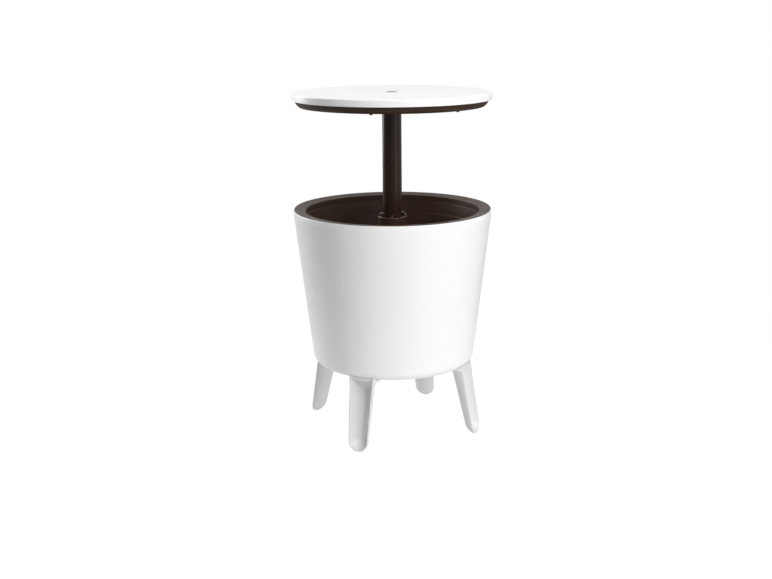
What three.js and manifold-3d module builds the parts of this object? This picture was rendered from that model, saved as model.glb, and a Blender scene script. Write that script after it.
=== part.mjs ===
// Ice bucket coffee table, raised as it stands in use.
// Millimetres, +Z up, floor at z = 0, origin on the axis at the floor.
import * as THREE from "three";
import { LoftGeometry } from "three/addons/geometries/LoftGeometry.js";
import { mergeVertices } from "three/addons/utils/BufferGeometryUtils.js";
import Module from "manifold-3d";

const wasm = await Module();
wasm.setup();

const degree = Math.PI / 180;
const fullTurn = 360 * degree;
const halfTurn = 180 * degree;
const rightAngle = 90 * degree;

// Driving sizes
const rimHeight = 565; // floor to the outer edge of the rim ring
const rimRadius = 243.5;
const bucketBottom = 175; // floor to the underside of the bucket
const tableOverhang = 1; // how far the top stands out past the rim ring
const topDepth = 33.6; // top face down to the underside of the pan
const liftTravel = 253;
const lockTurn = 45 * degree;
const tubeRadius = 23.75;
const wallTaperShare = 0.113; // radius lost for each unit of height, on shell and liner

// Fits, and the overrun of every cut
const seatGap = 0.3; // between pieces that rest on each other
const runningGap = 0.5; // round a piece that slides or turns in another
const threadGap = 0.4;
const overrun = 5;

// Facets. The big rounds have a multiple of eight sides, so that every leg meets the same facets.
const roundSides = 40;
const tubeSides = 24;
const smallSides = 8;
const cornerSteps = 3;
const lipSteps = 1;

// Rim ring and liner
const rimWidth = 28;
const rimDrop = 4.4; // how far the ring's inner edge lies below its outer edge
const rimThickness = 3;
const rimEdgeThickness = 1.5; // where it lies on the shell
const rimEdgeRound = 1.2;
const linerWall = 3;
const upperLedgeDrop = 20; // rim height down to the upper ledge
const upperLedgeWidth = 2.4;
const lowerLedgeDrop = 50;
const lowerLedgeWidth = 2.6;
const lowerBandTaper = 3.2; // radius lost between the two ledges
const ledgeSlope = 0.8;
const linerCorner = 26;
const floorGap = 29; // underside of the bucket up to the liner's floor
const locatingRibWidth = 3;
const locatingRibDepth = 9;
const spacerWall = 8;

// Outer shell
const shellWall = 3;
const shellOverhang = 1.5; // how far the shell stands out past the rim ring
const shellBandHeight = 11.7; // upright band at the shell's top edge
const shellLipRound = 2.5;
const shellCorner = 22;
const screwBossRadius = 6.5;
const screwBossHeight = 16;

// Centre post, its gasket, nut and collar
const postWall = 3;
const postFloor = 4;
const footWidth = 20.5; // how far the foot stands out past the post
const footThickness = 4;
const stubRadius = 20;
const stubWall = 5;
const stubLength = 43.5; // below the foot
const gasketThickness = 1.5;
const nutThickness = 11;
const nutRim = 13;
const nutSides = 6;
const keyCount = 4;
const keyWidth = 7.2;
const keyHeight = 1.7;
const keywayFloorGap = 8;
const collarDrop = 21; // rim height down to the collar's top face
const collarThickness = 9;
const collarOverhang = 0.8;
const collarEdgeRound = 1.5;
const spigotLength = 12;

// Lift tube, with its locking lugs, foot plug and guide bush
const tubeWall = 2.5;
const lugCount = 4;
const lugWidth = 14;
const lugReach = 6.75; // past the tube's outside
const lugHeight = 8;
const stopHeight = 6;
const stopInset = 3; // lug tips to the stops' inner faces
const stopGap = 0.4;
const beadReach = 2.6;
const beadHeight = 3;
const bushHeight = 40;
const plugFlangeThickness = 4;
const plugFlangeReach = 5.5;
const plugSpigotLength = 20;
const plugSpigotWall = 4;
const tubeHeadThickness = 6;
const headBossWall = 5;
const headBossLength = 32;

// Top plate
const plateThickness = 3;
const plateEdgeRound = 4;
const skirtDepth = 17;
const skirtDraft = 0.7;
const recessDepth = 7;
const ribCount = 12;
const ribThickness = 2.5;
const ribDepth = 12;
const ribStartGap = 12; // from the pan's socket
const ribEndGap = 14;

// Top pan
const panWall = 3;
const panRound = 13;
const panFlatInset = 19.5; // rim radius to where the flat underside turns into the rounded edge
const panFlatWidth = 20;
const panRise = 4; // the middle of the underside lies this much higher
const panRiseRun = 5;
const socketWall = 6;
const socketDrop = 8; // below the pan's flat edge
const socketWeb = 4;
const gussetCount = 8;
const gussetReach = 40;
const gussetThickness = 3;
const nubCount = 6;
const nubRadius = 4;
const nubHeight = 4;
const nubDraft = 0.7;
const nubInset = 6.5; // from the liner's mouth to a nub's middle
const nubTurn = -125 * degree;

// Screws
const screwRadius = 2.2;
const screwHeadRadius = 5;
const screwHeadHeight = 2.6;
const screwLength = 18;
const screwDriveRadius = 2.6;
const screwDriveDepth = 1.4;
const panScrewCount = 6;
const panScrewInset = 74; // from the edge of the pan's flat underside
const panScrewTurn = -95 * degree;
const centreHeadRadius = 16;
const centreHeadHeight = 6.5;
const centreHeadRound = 1.2;
const centreShankRadius = 7;
const centreShankLength = 33;
const centreDriveRadius = 6;
const centreDriveDepth = 4;

// Legs
const legTurns = [-135, -45, 45, 135].map((turn) => turn * degree);
const legInset = 6.1; // the lips lie this far inside the bucket's wall, at its underside
const legSplay = 29.5;
const legTopWidth = 64.5;
const legFootWidth = 52;
const legTopDepth = 36;
const legFootDepth = 21.4;
const legWall = 4;
const soleDepth = 1; // cut off the round tip
const legFlare = 12;
const slantAngle = 54 * degree;
const tongueThickness = 5;
const tongueWidth = 50;
const tongueLength = 81; // from the lips inwards
const tongueRound = 14;
const legScrewInset = 63; // from the lips
const legScrewSpread = 15;
const sectionSteps = 9;
const tipSteps = 5;

// Drain
const drainInset = 24; // from the edge of the liner's flat floor
const drainTurn = 90 * degree;
const spoutRadius = 14;
const spoutWall = 4;
const spoutDrop = 8; // below the bucket
const sumpRadius = 20;
const sumpDepth = 1.5;
const sealThickness = 2;
const drainPlugLength = 24;
const drainFlangeThickness = 3.5;
const drainGripThickness = 6;
const drainGripDrop = 13;

// Heights and radii that follow from these
const taperAngle = Math.atan(wallTaperShare);
const ringSlope = Math.atan(rimDrop / rimWidth);
const tableRadius = rimRadius + tableOverhang;
const mouthRadius = rimRadius - rimWidth;
const linerFloor = bucketBottom + floorGap;
const lowerLedge = rimHeight - lowerLedgeDrop;
const lowerBandRadius = mouthRadius - upperLedgeWidth - lowerBandTaper;
const linerWallRadius = lowerBandRadius - lowerLedgeWidth;
const linerCornerHeight = linerFloor + linerCorner;
const linerFloorRadius =
  linerWallRadius - (lowerLedge - linerCornerHeight) * wallTaperShare -
  linerCorner / Math.cos(taperAngle);
const shellTop = rimHeight - rimEdgeThickness - seatGap;
const shellBandFoot = shellTop - shellBandHeight;
const shellRadius = rimRadius + shellOverhang;
const shellCornerHeight = bucketBottom + shellCorner;
const shellFootRadius = shellRadius - (shellBandFoot - shellCornerHeight) * wallTaperShare;
const panFlatRadius = rimRadius - panFlatInset;
const panClosed =
  rimHeight - (rimRadius - panFlatRadius) * Math.tan(ringSlope) +
  panRound * (1 / Math.cos(ringSlope) - 1) + seatGap;
const panBottom = panClosed + liftTravel;
const topHeight = panBottom + topDepth;
const collarTop = rimHeight - collarDrop;
const collarBottom = collarTop - collarThickness;
const spigotBottom = collarBottom - spigotLength;
const lugRadius = tubeRadius + lugReach;
const slotRadius = lugRadius + runningGap;
const postBore = Math.hypot(lugRadius, lugWidth / 2) + runningGap; // past the lugs' corners
const postRadius = postBore + postWall;
const footRadius = postRadius + footWidth;
const boreRadius = tubeRadius + runningGap;
const footUnder = linerFloor + gasketThickness + 2 * seatGap;
const stubHole = stubRadius + threadGap;
const beadTop = spigotBottom - 2 * seatGap;
const bushTop = beadTop - beadHeight - seatGap;
const bushBottom = bushTop - bushHeight;
const plugTop = bushBottom - seatGap;
const recessFloor = topHeight - recessDepth;
const socketTop = recessFloor - plateThickness - seatGap;
const tubeTop = socketTop - socketWeb - seatGap;
const shankHole = centreShankRadius + threadGap;
const screwHole = screwRadius + threadGap;
const panMiddle = panBottom + panRise;
const socketRadius = boreRadius + socketWall;
const panScrewCircle = panFlatRadius - panScrewInset;
const legTopRadius = shellFootRadius - legInset;
const legFootRadius = legTopRadius + legSplay;
const tongueEnd = legTopRadius - tongueLength;
const legScrewCircle = legTopRadius - legScrewInset;
const drainCircle = linerFloorRadius - drainInset;
const tongueTop = bucketBottom - seatGap;
const tongueBottom = tongueTop - tongueThickness;
const spoutBottom = bucketBottom - spoutDrop;
const spoutBore = spoutRadius - spoutWall;

// Helpers

// A closed three.js geometry becomes a solid that can be joined and cut.
function solid(geometry) {
  const bare = new THREE.BufferGeometry().copy(geometry);
  bare.deleteAttribute("normal");
  bare.deleteAttribute("uv");
  const merged = mergeVertices(bare);
  const corners = merged.index.array;
  const triangles = [];
  for (let i = 0; i < corners.length; i += 3) {
    const [a, b, c] = corners.slice(i, i + 3);
    if (a !== b && b !== c && c !== a) {
      triangles.push(a, b, c);
    }
  }
  return new wasm.Manifold(new wasm.Mesh({
    numProp: 3,
    vertProperties: merged.attributes.position.array,
    triVerts: new Uint32Array(triangles),
  }));
}

function join(...bodies) {
  return bodies.flat().reduce((whole, body) => whole.add(body));
}

function cut(body, ...tools) {
  return tools.flat().reduce((rest, tool) => rest.subtract(tool), body);
}

function piece(name, body, { color, roughness }) {
  const { vertProperties, triVerts } = body.getMesh();
  const geometry = new THREE.BufferGeometry();
  geometry.setAttribute("position", new THREE.BufferAttribute(vertProperties, 3));
  geometry.setIndex(new THREE.BufferAttribute(triVerts, 1));
  geometry.computeVertexNormals();
  const material = new THREE.MeshStandardMaterial({ color, roughness, metalness: 0 });
  const mesh = new THREE.Mesh(geometry, material);
  mesh.name = name;
  return mesh;
}

// Turns a profile of [radius, height] points round the Z axis. A profile that does not
// start and end on the axis is closed on itself.
function revolve(profile, sides = roundSides) {
  const points = profile.map(([radius, height]) => new THREE.Vector2(radius, height));
  if (THREE.ShapeUtils.isClockWise(points)) {
    points.reverse();
  }
  if (points[0].x > 0 || points.at(-1).x > 0) {
    points.push(points[0].clone());
  }
  return new THREE.LatheGeometry(points, sides).rotateX(rightAngle);
}

// Points of an arc in the plane of a profile
function arc(radius, height, size, from, to, steps = cornerSteps) {
  const points = [];
  for (let i = 0; i <= steps; i++) {
    const turn = from + (to - from) * (i / steps);
    points.push([radius + size * Math.cos(turn), height + size * Math.sin(turn)]);
  }
  return points;
}

function rod(radius, bottom, top, sides = smallSides, topRadius = radius) {
  return new THREE.CylinderGeometry(topRadius, radius, top - bottom, sides)
    .rotateX(rightAngle)
    .translate(0, 0, (top + bottom) / 2);
}

function block([x0, x1], [y0, y1], [z0, z1]) {
  return new THREE.BoxGeometry(x1 - x0, y1 - y0, z1 - z0)
    .translate((x0 + x1) / 2, (y0 + y1) / 2, (z0 + z1) / 2);
}

// A profile of [x, z] points made into a slab of a given width across Y
function slab(profile, width) {
  const shape = new THREE.Shape(profile.map(([x, z]) => new THREE.Vector2(x, z)));
  return new THREE.ExtrudeGeometry(shape, { depth: width, bevelEnabled: false })
    .rotateX(rightAngle)
    .translate(0, width / 2, 0);
}

// Copies of a geometry, evenly spaced round the Z axis
function around(count, geometry, first = 0) {
  return Array.from({ length: count }, (_, i) =>
    solid(geometry.clone().rotateZ(first + fullTurn * (i / count))));
}

function between(from, to, share) {
  return from + (to - from) * share;
}

// Materials
const whitePlastic = { color: 0xf1f1f0, roughness: 0.42 };
const brownPlastic = { color: 0x40352f, roughness: 0.45 };
const tubePlastic = { color: 0x2f2621, roughness: 0.38 };
const darkPlastic = { color: 0x2a2421, roughness: 0.5 };
const sealRubber = { color: 0x1c1b1a, roughness: 0.8 };
const screwSteel = { color: 0xb8babc, roughness: 0.35 };

// Outer shell

// The tub's outline from the bottom hole to the top of its tapered wall, moved out by an offset
function tubOutline(offset, hole) {
  const centreRadius = shellFootRadius - shellCorner / Math.cos(taperAngle);
  return [
    [hole, bucketBottom - offset],
    ...arc(centreRadius, shellCornerHeight, shellCorner + offset, -rightAngle, -taperAngle),
    [shellRadius + offset / Math.cos(taperAngle), shellBandFoot],
  ];
}

function makeOuterShell() {
  const outside = tubOutline(0, stubHole);
  const inside = tubOutline(-shellWall, stubHole);
  const lipRadius = outside.at(-1)[0] - shellLipRound;
  const tub = revolve([
    ...outside,
    ...arc(lipRadius, shellTop - shellLipRound, shellLipRound, 0, rightAngle, lipSteps),
    [inside.at(-1)[0], shellTop],
    ...inside.reverse(),
  ]);
  const bosses = [];
  const holes = [];
  for (const turn of legTurns) {
    for (const side of [-legScrewSpread, legScrewSpread]) {
      const bossTop = bucketBottom + shellWall + screwBossHeight;
      const bossFoot = bucketBottom + shellWall / 2;
      const boss = rod(screwBossRadius, bossFoot, bossTop);
      const hole = rod(screwHole, bucketBottom - overrun, bossTop - shellWall);
      bosses.push(solid(boss.translate(legScrewCircle, side, 0).rotateZ(turn)));
      holes.push(solid(hole.translate(legScrewCircle, side, 0).rotateZ(turn)));
    }
  }
  const holeTop = bucketBottom + shellWall + overrun;
  const spoutHole = rod(spoutRadius + runningGap, bucketBottom - overrun, holeTop);
  holes.push(solid(spoutHole.translate(drainCircle, 0, 0).rotateZ(drainTurn)));
  return piece("outer_shell", cut(join(solid(tub), bosses), holes), whitePlastic);
}

// Liner

function makeLiner() {
  const upperLedge = rimHeight - upperLedgeDrop;
  const underFloor = linerFloor - linerWall;
  const spacerBottom = bucketBottom + shellWall + seatGap;
  const spacerRadius = stubHole + spacerWall;
  const rimUnder = rimHeight - rimThickness;
  const edgeUnder = rimHeight - rimEdgeThickness;
  const ribRadius = shellRadius - shellWall / Math.cos(taperAngle) - seatGap;
  const ribInner = ribRadius - locatingRibWidth;
  const ringUnder = rimUnder - rimDrop;
  const ribMeets = rimUnder - (rimRadius - ribInner) * Math.tan(ringSlope);
  const tub = revolve([
    [stubHole, spacerBottom],
    [spacerRadius, spacerBottom],
    [spacerRadius, underFloor],
    ...arc(linerFloorRadius, linerCornerHeight, linerCorner + linerWall, -rightAngle, -taperAngle),
    [linerWallRadius + linerWall, lowerLedge - linerWall],
    [lowerBandRadius + linerWall, lowerLedge],
    [mouthRadius + linerWall, upperLedge],
    [mouthRadius + linerWall, ringUnder],
    [ribInner, ribMeets],
    [ribInner, rimUnder - locatingRibDepth],
    [ribRadius, rimUnder - locatingRibDepth],
    [ribRadius, edgeUnder],
    [rimRadius, edgeUnder],
    ...arc(rimRadius - rimEdgeRound, rimHeight - rimEdgeRound, rimEdgeRound, 0, rightAngle, lipSteps),
    ...arc(mouthRadius + rimEdgeRound, rimHeight - rimDrop - rimEdgeRound, rimEdgeRound,
      rightAngle, halfTurn, lipSteps),
    [mouthRadius, upperLedge + ledgeSlope],
    [mouthRadius - upperLedgeWidth, upperLedge],
    [lowerBandRadius, lowerLedge + ledgeSlope],
    [linerWallRadius, lowerLedge],
    ...arc(linerFloorRadius, linerCornerHeight, linerCorner, -taperAngle, -rightAngle),
    [stubHole, linerFloor],
  ]);
  const toDrain = (geometry) => solid(geometry.translate(drainCircle, 0, 0).rotateZ(drainTurn));
  const spout = rod(spoutRadius, spoutBottom, linerFloor - linerWall / 2);
  const bore = rod(spoutBore, spoutBottom - overrun, linerFloor + overrun);
  const sumpTop = 2 * sumpRadius - spoutBore;
  const sump = rod(spoutBore, linerFloor - sumpDepth, linerFloor + sumpDepth, smallSides, sumpTop);
  const body = cut(join(solid(tub), toDrain(spout)), toDrain(bore), toDrain(sump));
  return piece("liner", body, brownPlastic);
}

// Centre post and what fixes it

function makeCentrePost() {
  const postTop = collarBottom - seatGap;
  const footTop = footUnder + footThickness;
  const innerFloor = footUnder + postFloor;
  const body = revolve([
    [0, footUnder],
    [stubRadius - stubWall, footUnder],
    [stubRadius - stubWall, footUnder - stubLength],
    [stubRadius, footUnder - stubLength],
    [stubRadius, footUnder],
    [footRadius, footUnder],
    [footRadius, footTop],
    [postRadius, footTop],
    [postRadius, postTop],
    [postBore, postTop],
    [postBore, innerFloor],
    [0, innerFloor],
  ], tubeSides);
  const wayDepth = postBore + keyHeight;
  const keyway = block(
    [postBore / 2, wayDepth],
    [-keyWidth / 2 - seatGap, keyWidth / 2 + seatGap],
    [innerFloor + keywayFloorGap, postTop + overrun],
  );
  const keyways = around(keyCount, keyway, halfTurn / keyCount);
  return piece("centre_post", cut(solid(body), keyways), brownPlastic);
}

function makePostGasket() {
  const bottom = linerFloor + seatGap;
  const ring = revolve([
    [stubHole, bottom],
    [footRadius, bottom],
    [footRadius, bottom + gasketThickness],
    [stubHole, bottom + gasketThickness],
  ], tubeSides);
  return piece("post_gasket", solid(ring), sealRubber);
}

function makePostNut() {
  const top = bucketBottom - seatGap;
  const bottom = top - nutThickness;
  const hexagon = rod(stubRadius + nutRim, bottom, top, nutSides);
  const thread = rod(stubHole, bottom - overrun, top + overrun, tubeSides);
  return piece("post_nut", cut(solid(hexagon), solid(thread)), brownPlastic);
}

// The collar's slots let the lugs through. The stops on top end the lugs' turn at both sides.
function makePostCollar() {
  const outerRadius = postRadius + collarOverhang;
  const spigotRadius = postBore - seatGap;
  const ring = revolve([
    [boreRadius, spigotBottom],
    [spigotRadius, spigotBottom],
    [spigotRadius, collarBottom],
    [outerRadius, collarBottom],
    ...arc(outerRadius - collarEdgeRound, collarTop - collarEdgeRound, collarEdgeRound,
      0, rightAngle, lipSteps),
    [boreRadius, collarTop],
  ], tubeSides);
  const slotHalf = lugWidth / 2 + runningGap;
  const slots = around(lugCount, block(
    [boreRadius / 2, slotRadius],
    [-slotHalf, slotHalf],
    [spigotBottom - overrun, collarTop + overrun],
  ));
  const spigotSlots = around(lugCount, block(
    [boreRadius / 2, postBore],
    [-slotHalf, slotHalf],
    [spigotBottom - overrun, collarBottom],
  ));
  const stopInner = lugRadius - stopInset;
  const lugHalfTurn = Math.asin(lugWidth / 2 / stopInner);
  const freeTurn = fullTurn / lugCount - lockTurn - 2 * lugHalfTurn;
  const stopHalf = stopInner * Math.sin(freeTurn / 2) - stopGap;
  const stop = block(
    [stopInner, outerRadius - collarEdgeRound],
    [-stopHalf, stopHalf],
    [collarTop - collarThickness / 2, collarTop + stopHeight],
  );
  const stops = around(lugCount, stop, lockTurn + lugHalfTurn + freeTurn / 2);
  return piece("post_collar", join(cut(solid(ring), slots, spigotSlots), stops), brownPlastic);
}

// Lift tube, foot plug and guide bush

function makeLiftTube() {
  const foot = plugTop + seatGap;
  const inner = tubeRadius - tubeWall;
  const bossRadius = shankHole + headBossWall;
  const tube = revolve([
    [inner, foot],
    [tubeRadius, foot],
    [tubeRadius, beadTop - beadHeight],
    [tubeRadius + beadReach, beadTop - beadHeight],
    [tubeRadius + beadReach, beadTop],
    [tubeRadius, beadTop],
    [tubeRadius, tubeTop],
    [shankHole, tubeTop],
    [shankHole, tubeTop - headBossLength],
    [bossRadius, tubeTop - headBossLength],
    [bossRadius, tubeTop - tubeHeadThickness],
    [inner, tubeTop - tubeHeadThickness],
  ], tubeSides);
  const lug = block(
    [tubeRadius - tubeWall / 2, lugRadius],
    [-lugWidth / 2, lugWidth / 2],
    [collarTop + seatGap, collarTop + seatGap + lugHeight],
  );
  return piece("lift_tube", join(solid(tube), around(lugCount, lug)), tubePlastic);
}

function makeTubeFootPlug() {
  const flangeRadius = tubeRadius + plugFlangeReach;
  const spigotRadius = tubeRadius - tubeWall - seatGap;
  const plug = revolve([
    [0, plugTop - plugFlangeThickness],
    [flangeRadius, plugTop - plugFlangeThickness],
    [flangeRadius, plugTop],
    [spigotRadius, plugTop],
    [spigotRadius, plugTop + plugSpigotLength],
    [spigotRadius - plugSpigotWall, plugTop + plugSpigotLength],
    [spigotRadius - plugSpigotWall, plugTop],
    [0, plugTop],
  ], tubeSides);
  return piece("tube_foot_plug", solid(plug), darkPlastic);
}

function makeGuideBush() {
  const bushRadius = postBore - runningGap;
  const bush = revolve([
    [boreRadius, bushBottom],
    [bushRadius, bushBottom],
    [bushRadius, bushTop],
    [boreRadius, bushTop],
  ], tubeSides);
  const key = block(
    [(boreRadius + bushRadius) / 2, bushRadius + keyHeight],
    [-keyWidth / 2, keyWidth / 2],
    [bushBottom, bushTop],
  );
  const keys = around(keyCount, key, halfTurn / keyCount);
  return piece("guide_bush", join(solid(bush), keys), darkPlastic);
}

// Table top

function makeTopPlate() {
  const skirtBottom = topHeight - skirtDepth;
  const skirtRadius = tableRadius - skirtDraft;
  const under = topHeight - plateThickness;
  const recessRadius = centreHeadRadius + runningGap;
  const disc = revolve([
    [shankHole, recessFloor - plateThickness],
    [recessRadius + plateThickness, recessFloor - plateThickness],
    [recessRadius + plateThickness, under],
    [tableRadius - plateThickness, under],
    [skirtRadius - plateThickness, skirtBottom],
    [skirtRadius, skirtBottom],
    ...arc(tableRadius - plateEdgeRound, topHeight - plateEdgeRound, plateEdgeRound, 0, rightAngle),
    [recessRadius, topHeight],
    [recessRadius, recessFloor],
    [shankHole, recessFloor],
  ]);
  const ribEnd = panInnerRadius() - ribEndGap;
  const rib = block(
    [socketRadius + ribStartGap, ribEnd],
    [-ribThickness / 2, ribThickness / 2],
    [under - ribDepth, under + plateThickness / 2],
  );
  const ribs = around(ribCount, rib, panScrewTurn);
  const bossBottom = panMiddle + panWall + seatGap;
  const boss = rod(screwBossRadius, bossBottom, under + plateThickness / 2);
  const hole = rod(screwHole, bossBottom - overrun, under - plateThickness);
  const bosses = around(panScrewCount, boss.translate(panScrewCircle, 0, 0), panScrewTurn);
  const holes = around(panScrewCount, hole.translate(panScrewCircle, 0, 0), panScrewTurn);
  return piece("top_plate", cut(join(solid(disc), ribs, bosses), holes), whitePlastic);
}

// The pan's upright wall stands just inside the plate's skirt.
function panOuterRadius() {
  return tableRadius - skirtDraft - plateThickness - runningGap;
}

function panInnerRadius() {
  return panOuterRadius() - panWall;
}

function makeTopPan() {
  const outer = panOuterRadius();
  const inner = panInnerRadius();
  const wallTop = topHeight - plateThickness - seatGap;
  const flatInner = panFlatRadius - panFlatWidth;
  const roundHeight = panBottom + panRound;
  const dish = revolve([
    [boreRadius, panBottom - socketDrop],
    [socketRadius, panBottom - socketDrop],
    [socketRadius, panMiddle],
    [flatInner - panRiseRun, panMiddle],
    [flatInner, panBottom],
    ...arc(panFlatRadius, roundHeight, panRound, -rightAngle, -taperAngle),
    [outer, topHeight - skirtDepth],
    [outer, wallTop],
    [inner, wallTop],
    [inner, topHeight - skirtDepth],
    ...arc(panFlatRadius, roundHeight, panRound - panWall, -taperAngle, -rightAngle),
    [flatInner, panBottom + panWall],
    [flatInner - panRiseRun, panMiddle + panWall],
    [socketRadius, panMiddle + panWall],
    [socketRadius, socketTop],
    [shankHole, socketTop],
    [shankHole, socketTop - socketWeb],
    [boreRadius, socketTop - socketWeb],
  ]);
  const gussetInner = boreRadius + socketWall / 2;
  const gusset = slab([
    [gussetInner, panBottom - socketDrop],
    [socketRadius, panBottom - socketDrop],
    [socketRadius + gussetReach, panMiddle],
    [socketRadius + gussetReach, panMiddle + panWall / 2],
    [gussetInner, panMiddle + panWall / 2],
  ], gussetThickness);
  const nubTop = panBottom + panWall / 2;
  const nub = rod(nubRadius - nubDraft, panBottom - nubHeight, nubTop, smallSides, nubRadius);
  const hole = rod(screwHole, panBottom - overrun, panMiddle + panWall + overrun);
  const body = cut(
    join(
      solid(dish),
      around(gussetCount, gusset),
      around(nubCount, nub.translate(mouthRadius - nubInset, 0, 0), nubTurn),
    ),
    around(panScrewCount, hole.translate(panScrewCircle, 0, 0), panScrewTurn),
  );
  return piece("top_pan", body, brownPlastic);
}

function makeCentreScrew() {
  const headBottom = recessFloor + seatGap;
  const headTop = headBottom + centreHeadHeight;
  const screw = revolve([
    [0, headBottom - centreShankLength],
    [centreShankRadius, headBottom - centreShankLength],
    [centreShankRadius, headBottom],
    [centreHeadRadius, headBottom],
    ...arc(centreHeadRadius - centreHeadRound, headTop - centreHeadRound, centreHeadRound,
      0, rightAngle, lipSteps),
    [0, headTop],
  ], tubeSides);
  const drive = rod(centreDriveRadius, headTop - centreDriveDepth, headTop + overrun, nutSides);
  return piece("centre_screw", cut(solid(screw), solid(drive)), darkPlastic);
}

// A screw that points up, with its head's seat at z = 0
function screwBody() {
  const screw = revolve([
    [0, -screwHeadHeight],
    [screwHeadRadius - screwHeadHeight / 2, -screwHeadHeight],
    [screwHeadRadius, -screwHeadHeight / 2],
    [screwHeadRadius, 0],
    [screwRadius, 0],
    [screwRadius, screwLength - screwRadius],
    [0, screwLength],
  ], smallSides);
  const driveTop = screwDriveDepth - screwHeadHeight;
  const drive = rod(screwDriveRadius, -screwHeadHeight - overrun, driveTop, nutSides);
  return cut(solid(screw), solid(drive));
}

function makeScrew(name, radius, across, height, turn) {
  const mesh = piece(name, screwBody(), screwSteel);
  mesh.position.set(radius, across, height);
  const group = new THREE.Group();
  group.rotation.z = turn;
  group.add(mesh);
  return group;
}

// Legs

// One section of the leg at a height: half an ellipse that bulges inwards from the lips.
// The inset moves its wall inwards, the mouth moves its open side out, and the flare moves its back in.
function legSection(height, roundShare, inset, mouth, flare) {
  const upShare = height / bucketBottom;
  const lips = between(legFootRadius, legTopRadius, upShare) + Math.min(mouth, 0);
  const halfWidth = (between(legFootWidth, legTopWidth, upShare) / 2 - inset) * roundShare;
  const fullDepth = between(legFootDepth, legTopDepth, upShare) - inset + Math.min(mouth, 0);
  const depth = fullDepth * roundShare + flare;
  const points = [];
  for (let i = 0; i <= sectionSteps; i++) {
    const turn = halfTurn * (i / sectionSteps);
    points.push(new THREE.Vector3(lips - depth * Math.sin(turn), halfWidth * Math.cos(turn), height));
  }
  if (mouth > 0) {
    points.push(new THREE.Vector3(lips + mouth, -halfWidth, height));
    points.push(new THREE.Vector3(lips + mouth, halfWidth, height));
  }
  return points;
}

// The leg's form from its rounded tip to above the bucket's underside
function legLoft(inset, mouth, flareSize) {
  const tip = inset - soleDepth;
  const roundSize = legFootWidth / 2 - inset;
  const firstTurn = Math.acos(1 - soleDepth / roundSize);
  const sections = [];
  for (let i = 0; i <= tipSteps; i++) {
    const turn = between(firstTurn, rightAngle, i / tipSteps);
    const height = tip + roundSize * (1 - Math.cos(turn));
    sections.push(legSection(height, Math.sin(turn), inset, mouth, 0));
  }
  const flareStart = tongueBottom - flareSize;
  for (let i = 0; i <= cornerSteps && flareSize > 0; i++) {
    const turn = rightAngle * (i / cornerSteps);
    const height = flareStart + flareSize * Math.sin(turn);
    sections.push(legSection(height, 1, inset, mouth, flareSize * (1 - Math.cos(turn))));
  }
  const top = bucketBottom + shellCorner;
  sections.push(legSection(top, 1, inset, mouth, flareSize));
  return solid(new LoftGeometry(sections, { capStart: true, capEnd: true }));
}

// Everything above a plane that falls inwards from the lips at the bucket's underside
function aboveSlant(lift) {
  const outer = legTopRadius + legFootDepth;
  const inner = legTopRadius - legTopDepth - legFlare;
  const fall = Math.tan(slantAngle);
  const top = bucketBottom + 2 * shellCorner;
  return solid(slab([
    [inner, bucketBottom + lift - (legTopRadius - inner) * fall],
    [outer, bucketBottom + lift + (outer - legTopRadius) * fall],
    [outer, top + (outer - legTopRadius) * fall],
    [inner, top],
  ], 2 * legTopWidth));
}

function legBody() {
  const outer = legLoft(0, 0, legFlare);
  const channel = legLoft(legWall, overrun, 0).subtract(aboveSlant(0));
  const pocket = legLoft(legWall, -legWall, 0).intersect(aboveSlant(legWall / Math.cos(slantAngle)));
  const half = tongueWidth / 2;
  const tongueOuter = legTopRadius - legWall;
  const tongueShape = new THREE.Shape()
    .moveTo(tongueOuter, -half)
    .lineTo(tongueOuter, half)
    .lineTo(tongueEnd + tongueRound, half)
    .absarc(tongueEnd + tongueRound, half - tongueRound, tongueRound, rightAngle, halfTurn)
    .absarc(tongueEnd + tongueRound, tongueRound - half, tongueRound, halfTurn, halfTurn + rightAngle);
  const tongueForm = new THREE.ExtrudeGeometry(tongueShape, {
    depth: shellCorner,
    bevelEnabled: false,
    curveSegments: cornerSteps,
  });
  const tongue = solid(tongueForm.translate(0, 0, tongueBottom));
  const underBucket = tubOutline(seatGap, 0);
  const bucket = solid(revolve([...underBucket, [0, underBucket.at(-1)[1]]]));
  const holes = [-legScrewSpread, legScrewSpread].map((side) =>
    solid(rod(screwHole, tongueBottom - overrun, tongueTop + overrun).translate(legScrewCircle, side, 0)));
  return cut(join(outer, tongue), channel, pocket, bucket, holes);
}

function makeLeg(name, body, turn) {
  const mesh = piece(name, body, whitePlastic);
  mesh.rotation.z = turn;
  return mesh;
}

// Drain plug, in place in the spout

function makeDrainPlug() {
  const flangeTop = spoutBottom - sealThickness - 2 * seatGap;
  const flangeBottom = flangeTop - drainFlangeThickness;
  const bungRadius = spoutBore - threadGap;
  const bung = revolve([
    [0, flangeBottom],
    [spoutRadius, flangeBottom],
    [spoutRadius, flangeTop],
    [bungRadius, flangeTop],
    [bungRadius, flangeTop + drainPlugLength],
    [0, flangeTop + drainPlugLength],
  ], smallSides);
  const grip = slab([
    [-spoutRadius, flangeBottom + drainFlangeThickness / 2],
    [-spoutRadius, flangeBottom - drainGripDrop / 2],
    [-spoutRadius / 2, flangeBottom - drainGripDrop],
    [spoutRadius / 2, flangeBottom - drainGripDrop],
    [spoutRadius, flangeBottom - drainGripDrop / 2],
    [spoutRadius, flangeBottom + drainFlangeThickness / 2],
  ], drainGripThickness);
  const mesh = piece("drain_plug", join(solid(bung), solid(grip)), darkPlastic);
  return atDrain(mesh);
}

function makeDrainSeal() {
  const top = spoutBottom - seatGap;
  const inner = spoutBore - threadGap + seatGap;
  const ring = revolve([
    [inner, top - sealThickness],
    [spoutRadius, top - sealThickness],
    [spoutRadius, top],
    [inner, top],
  ], smallSides);
  return atDrain(piece("drain_seal", solid(ring), sealRubber));
}

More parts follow.
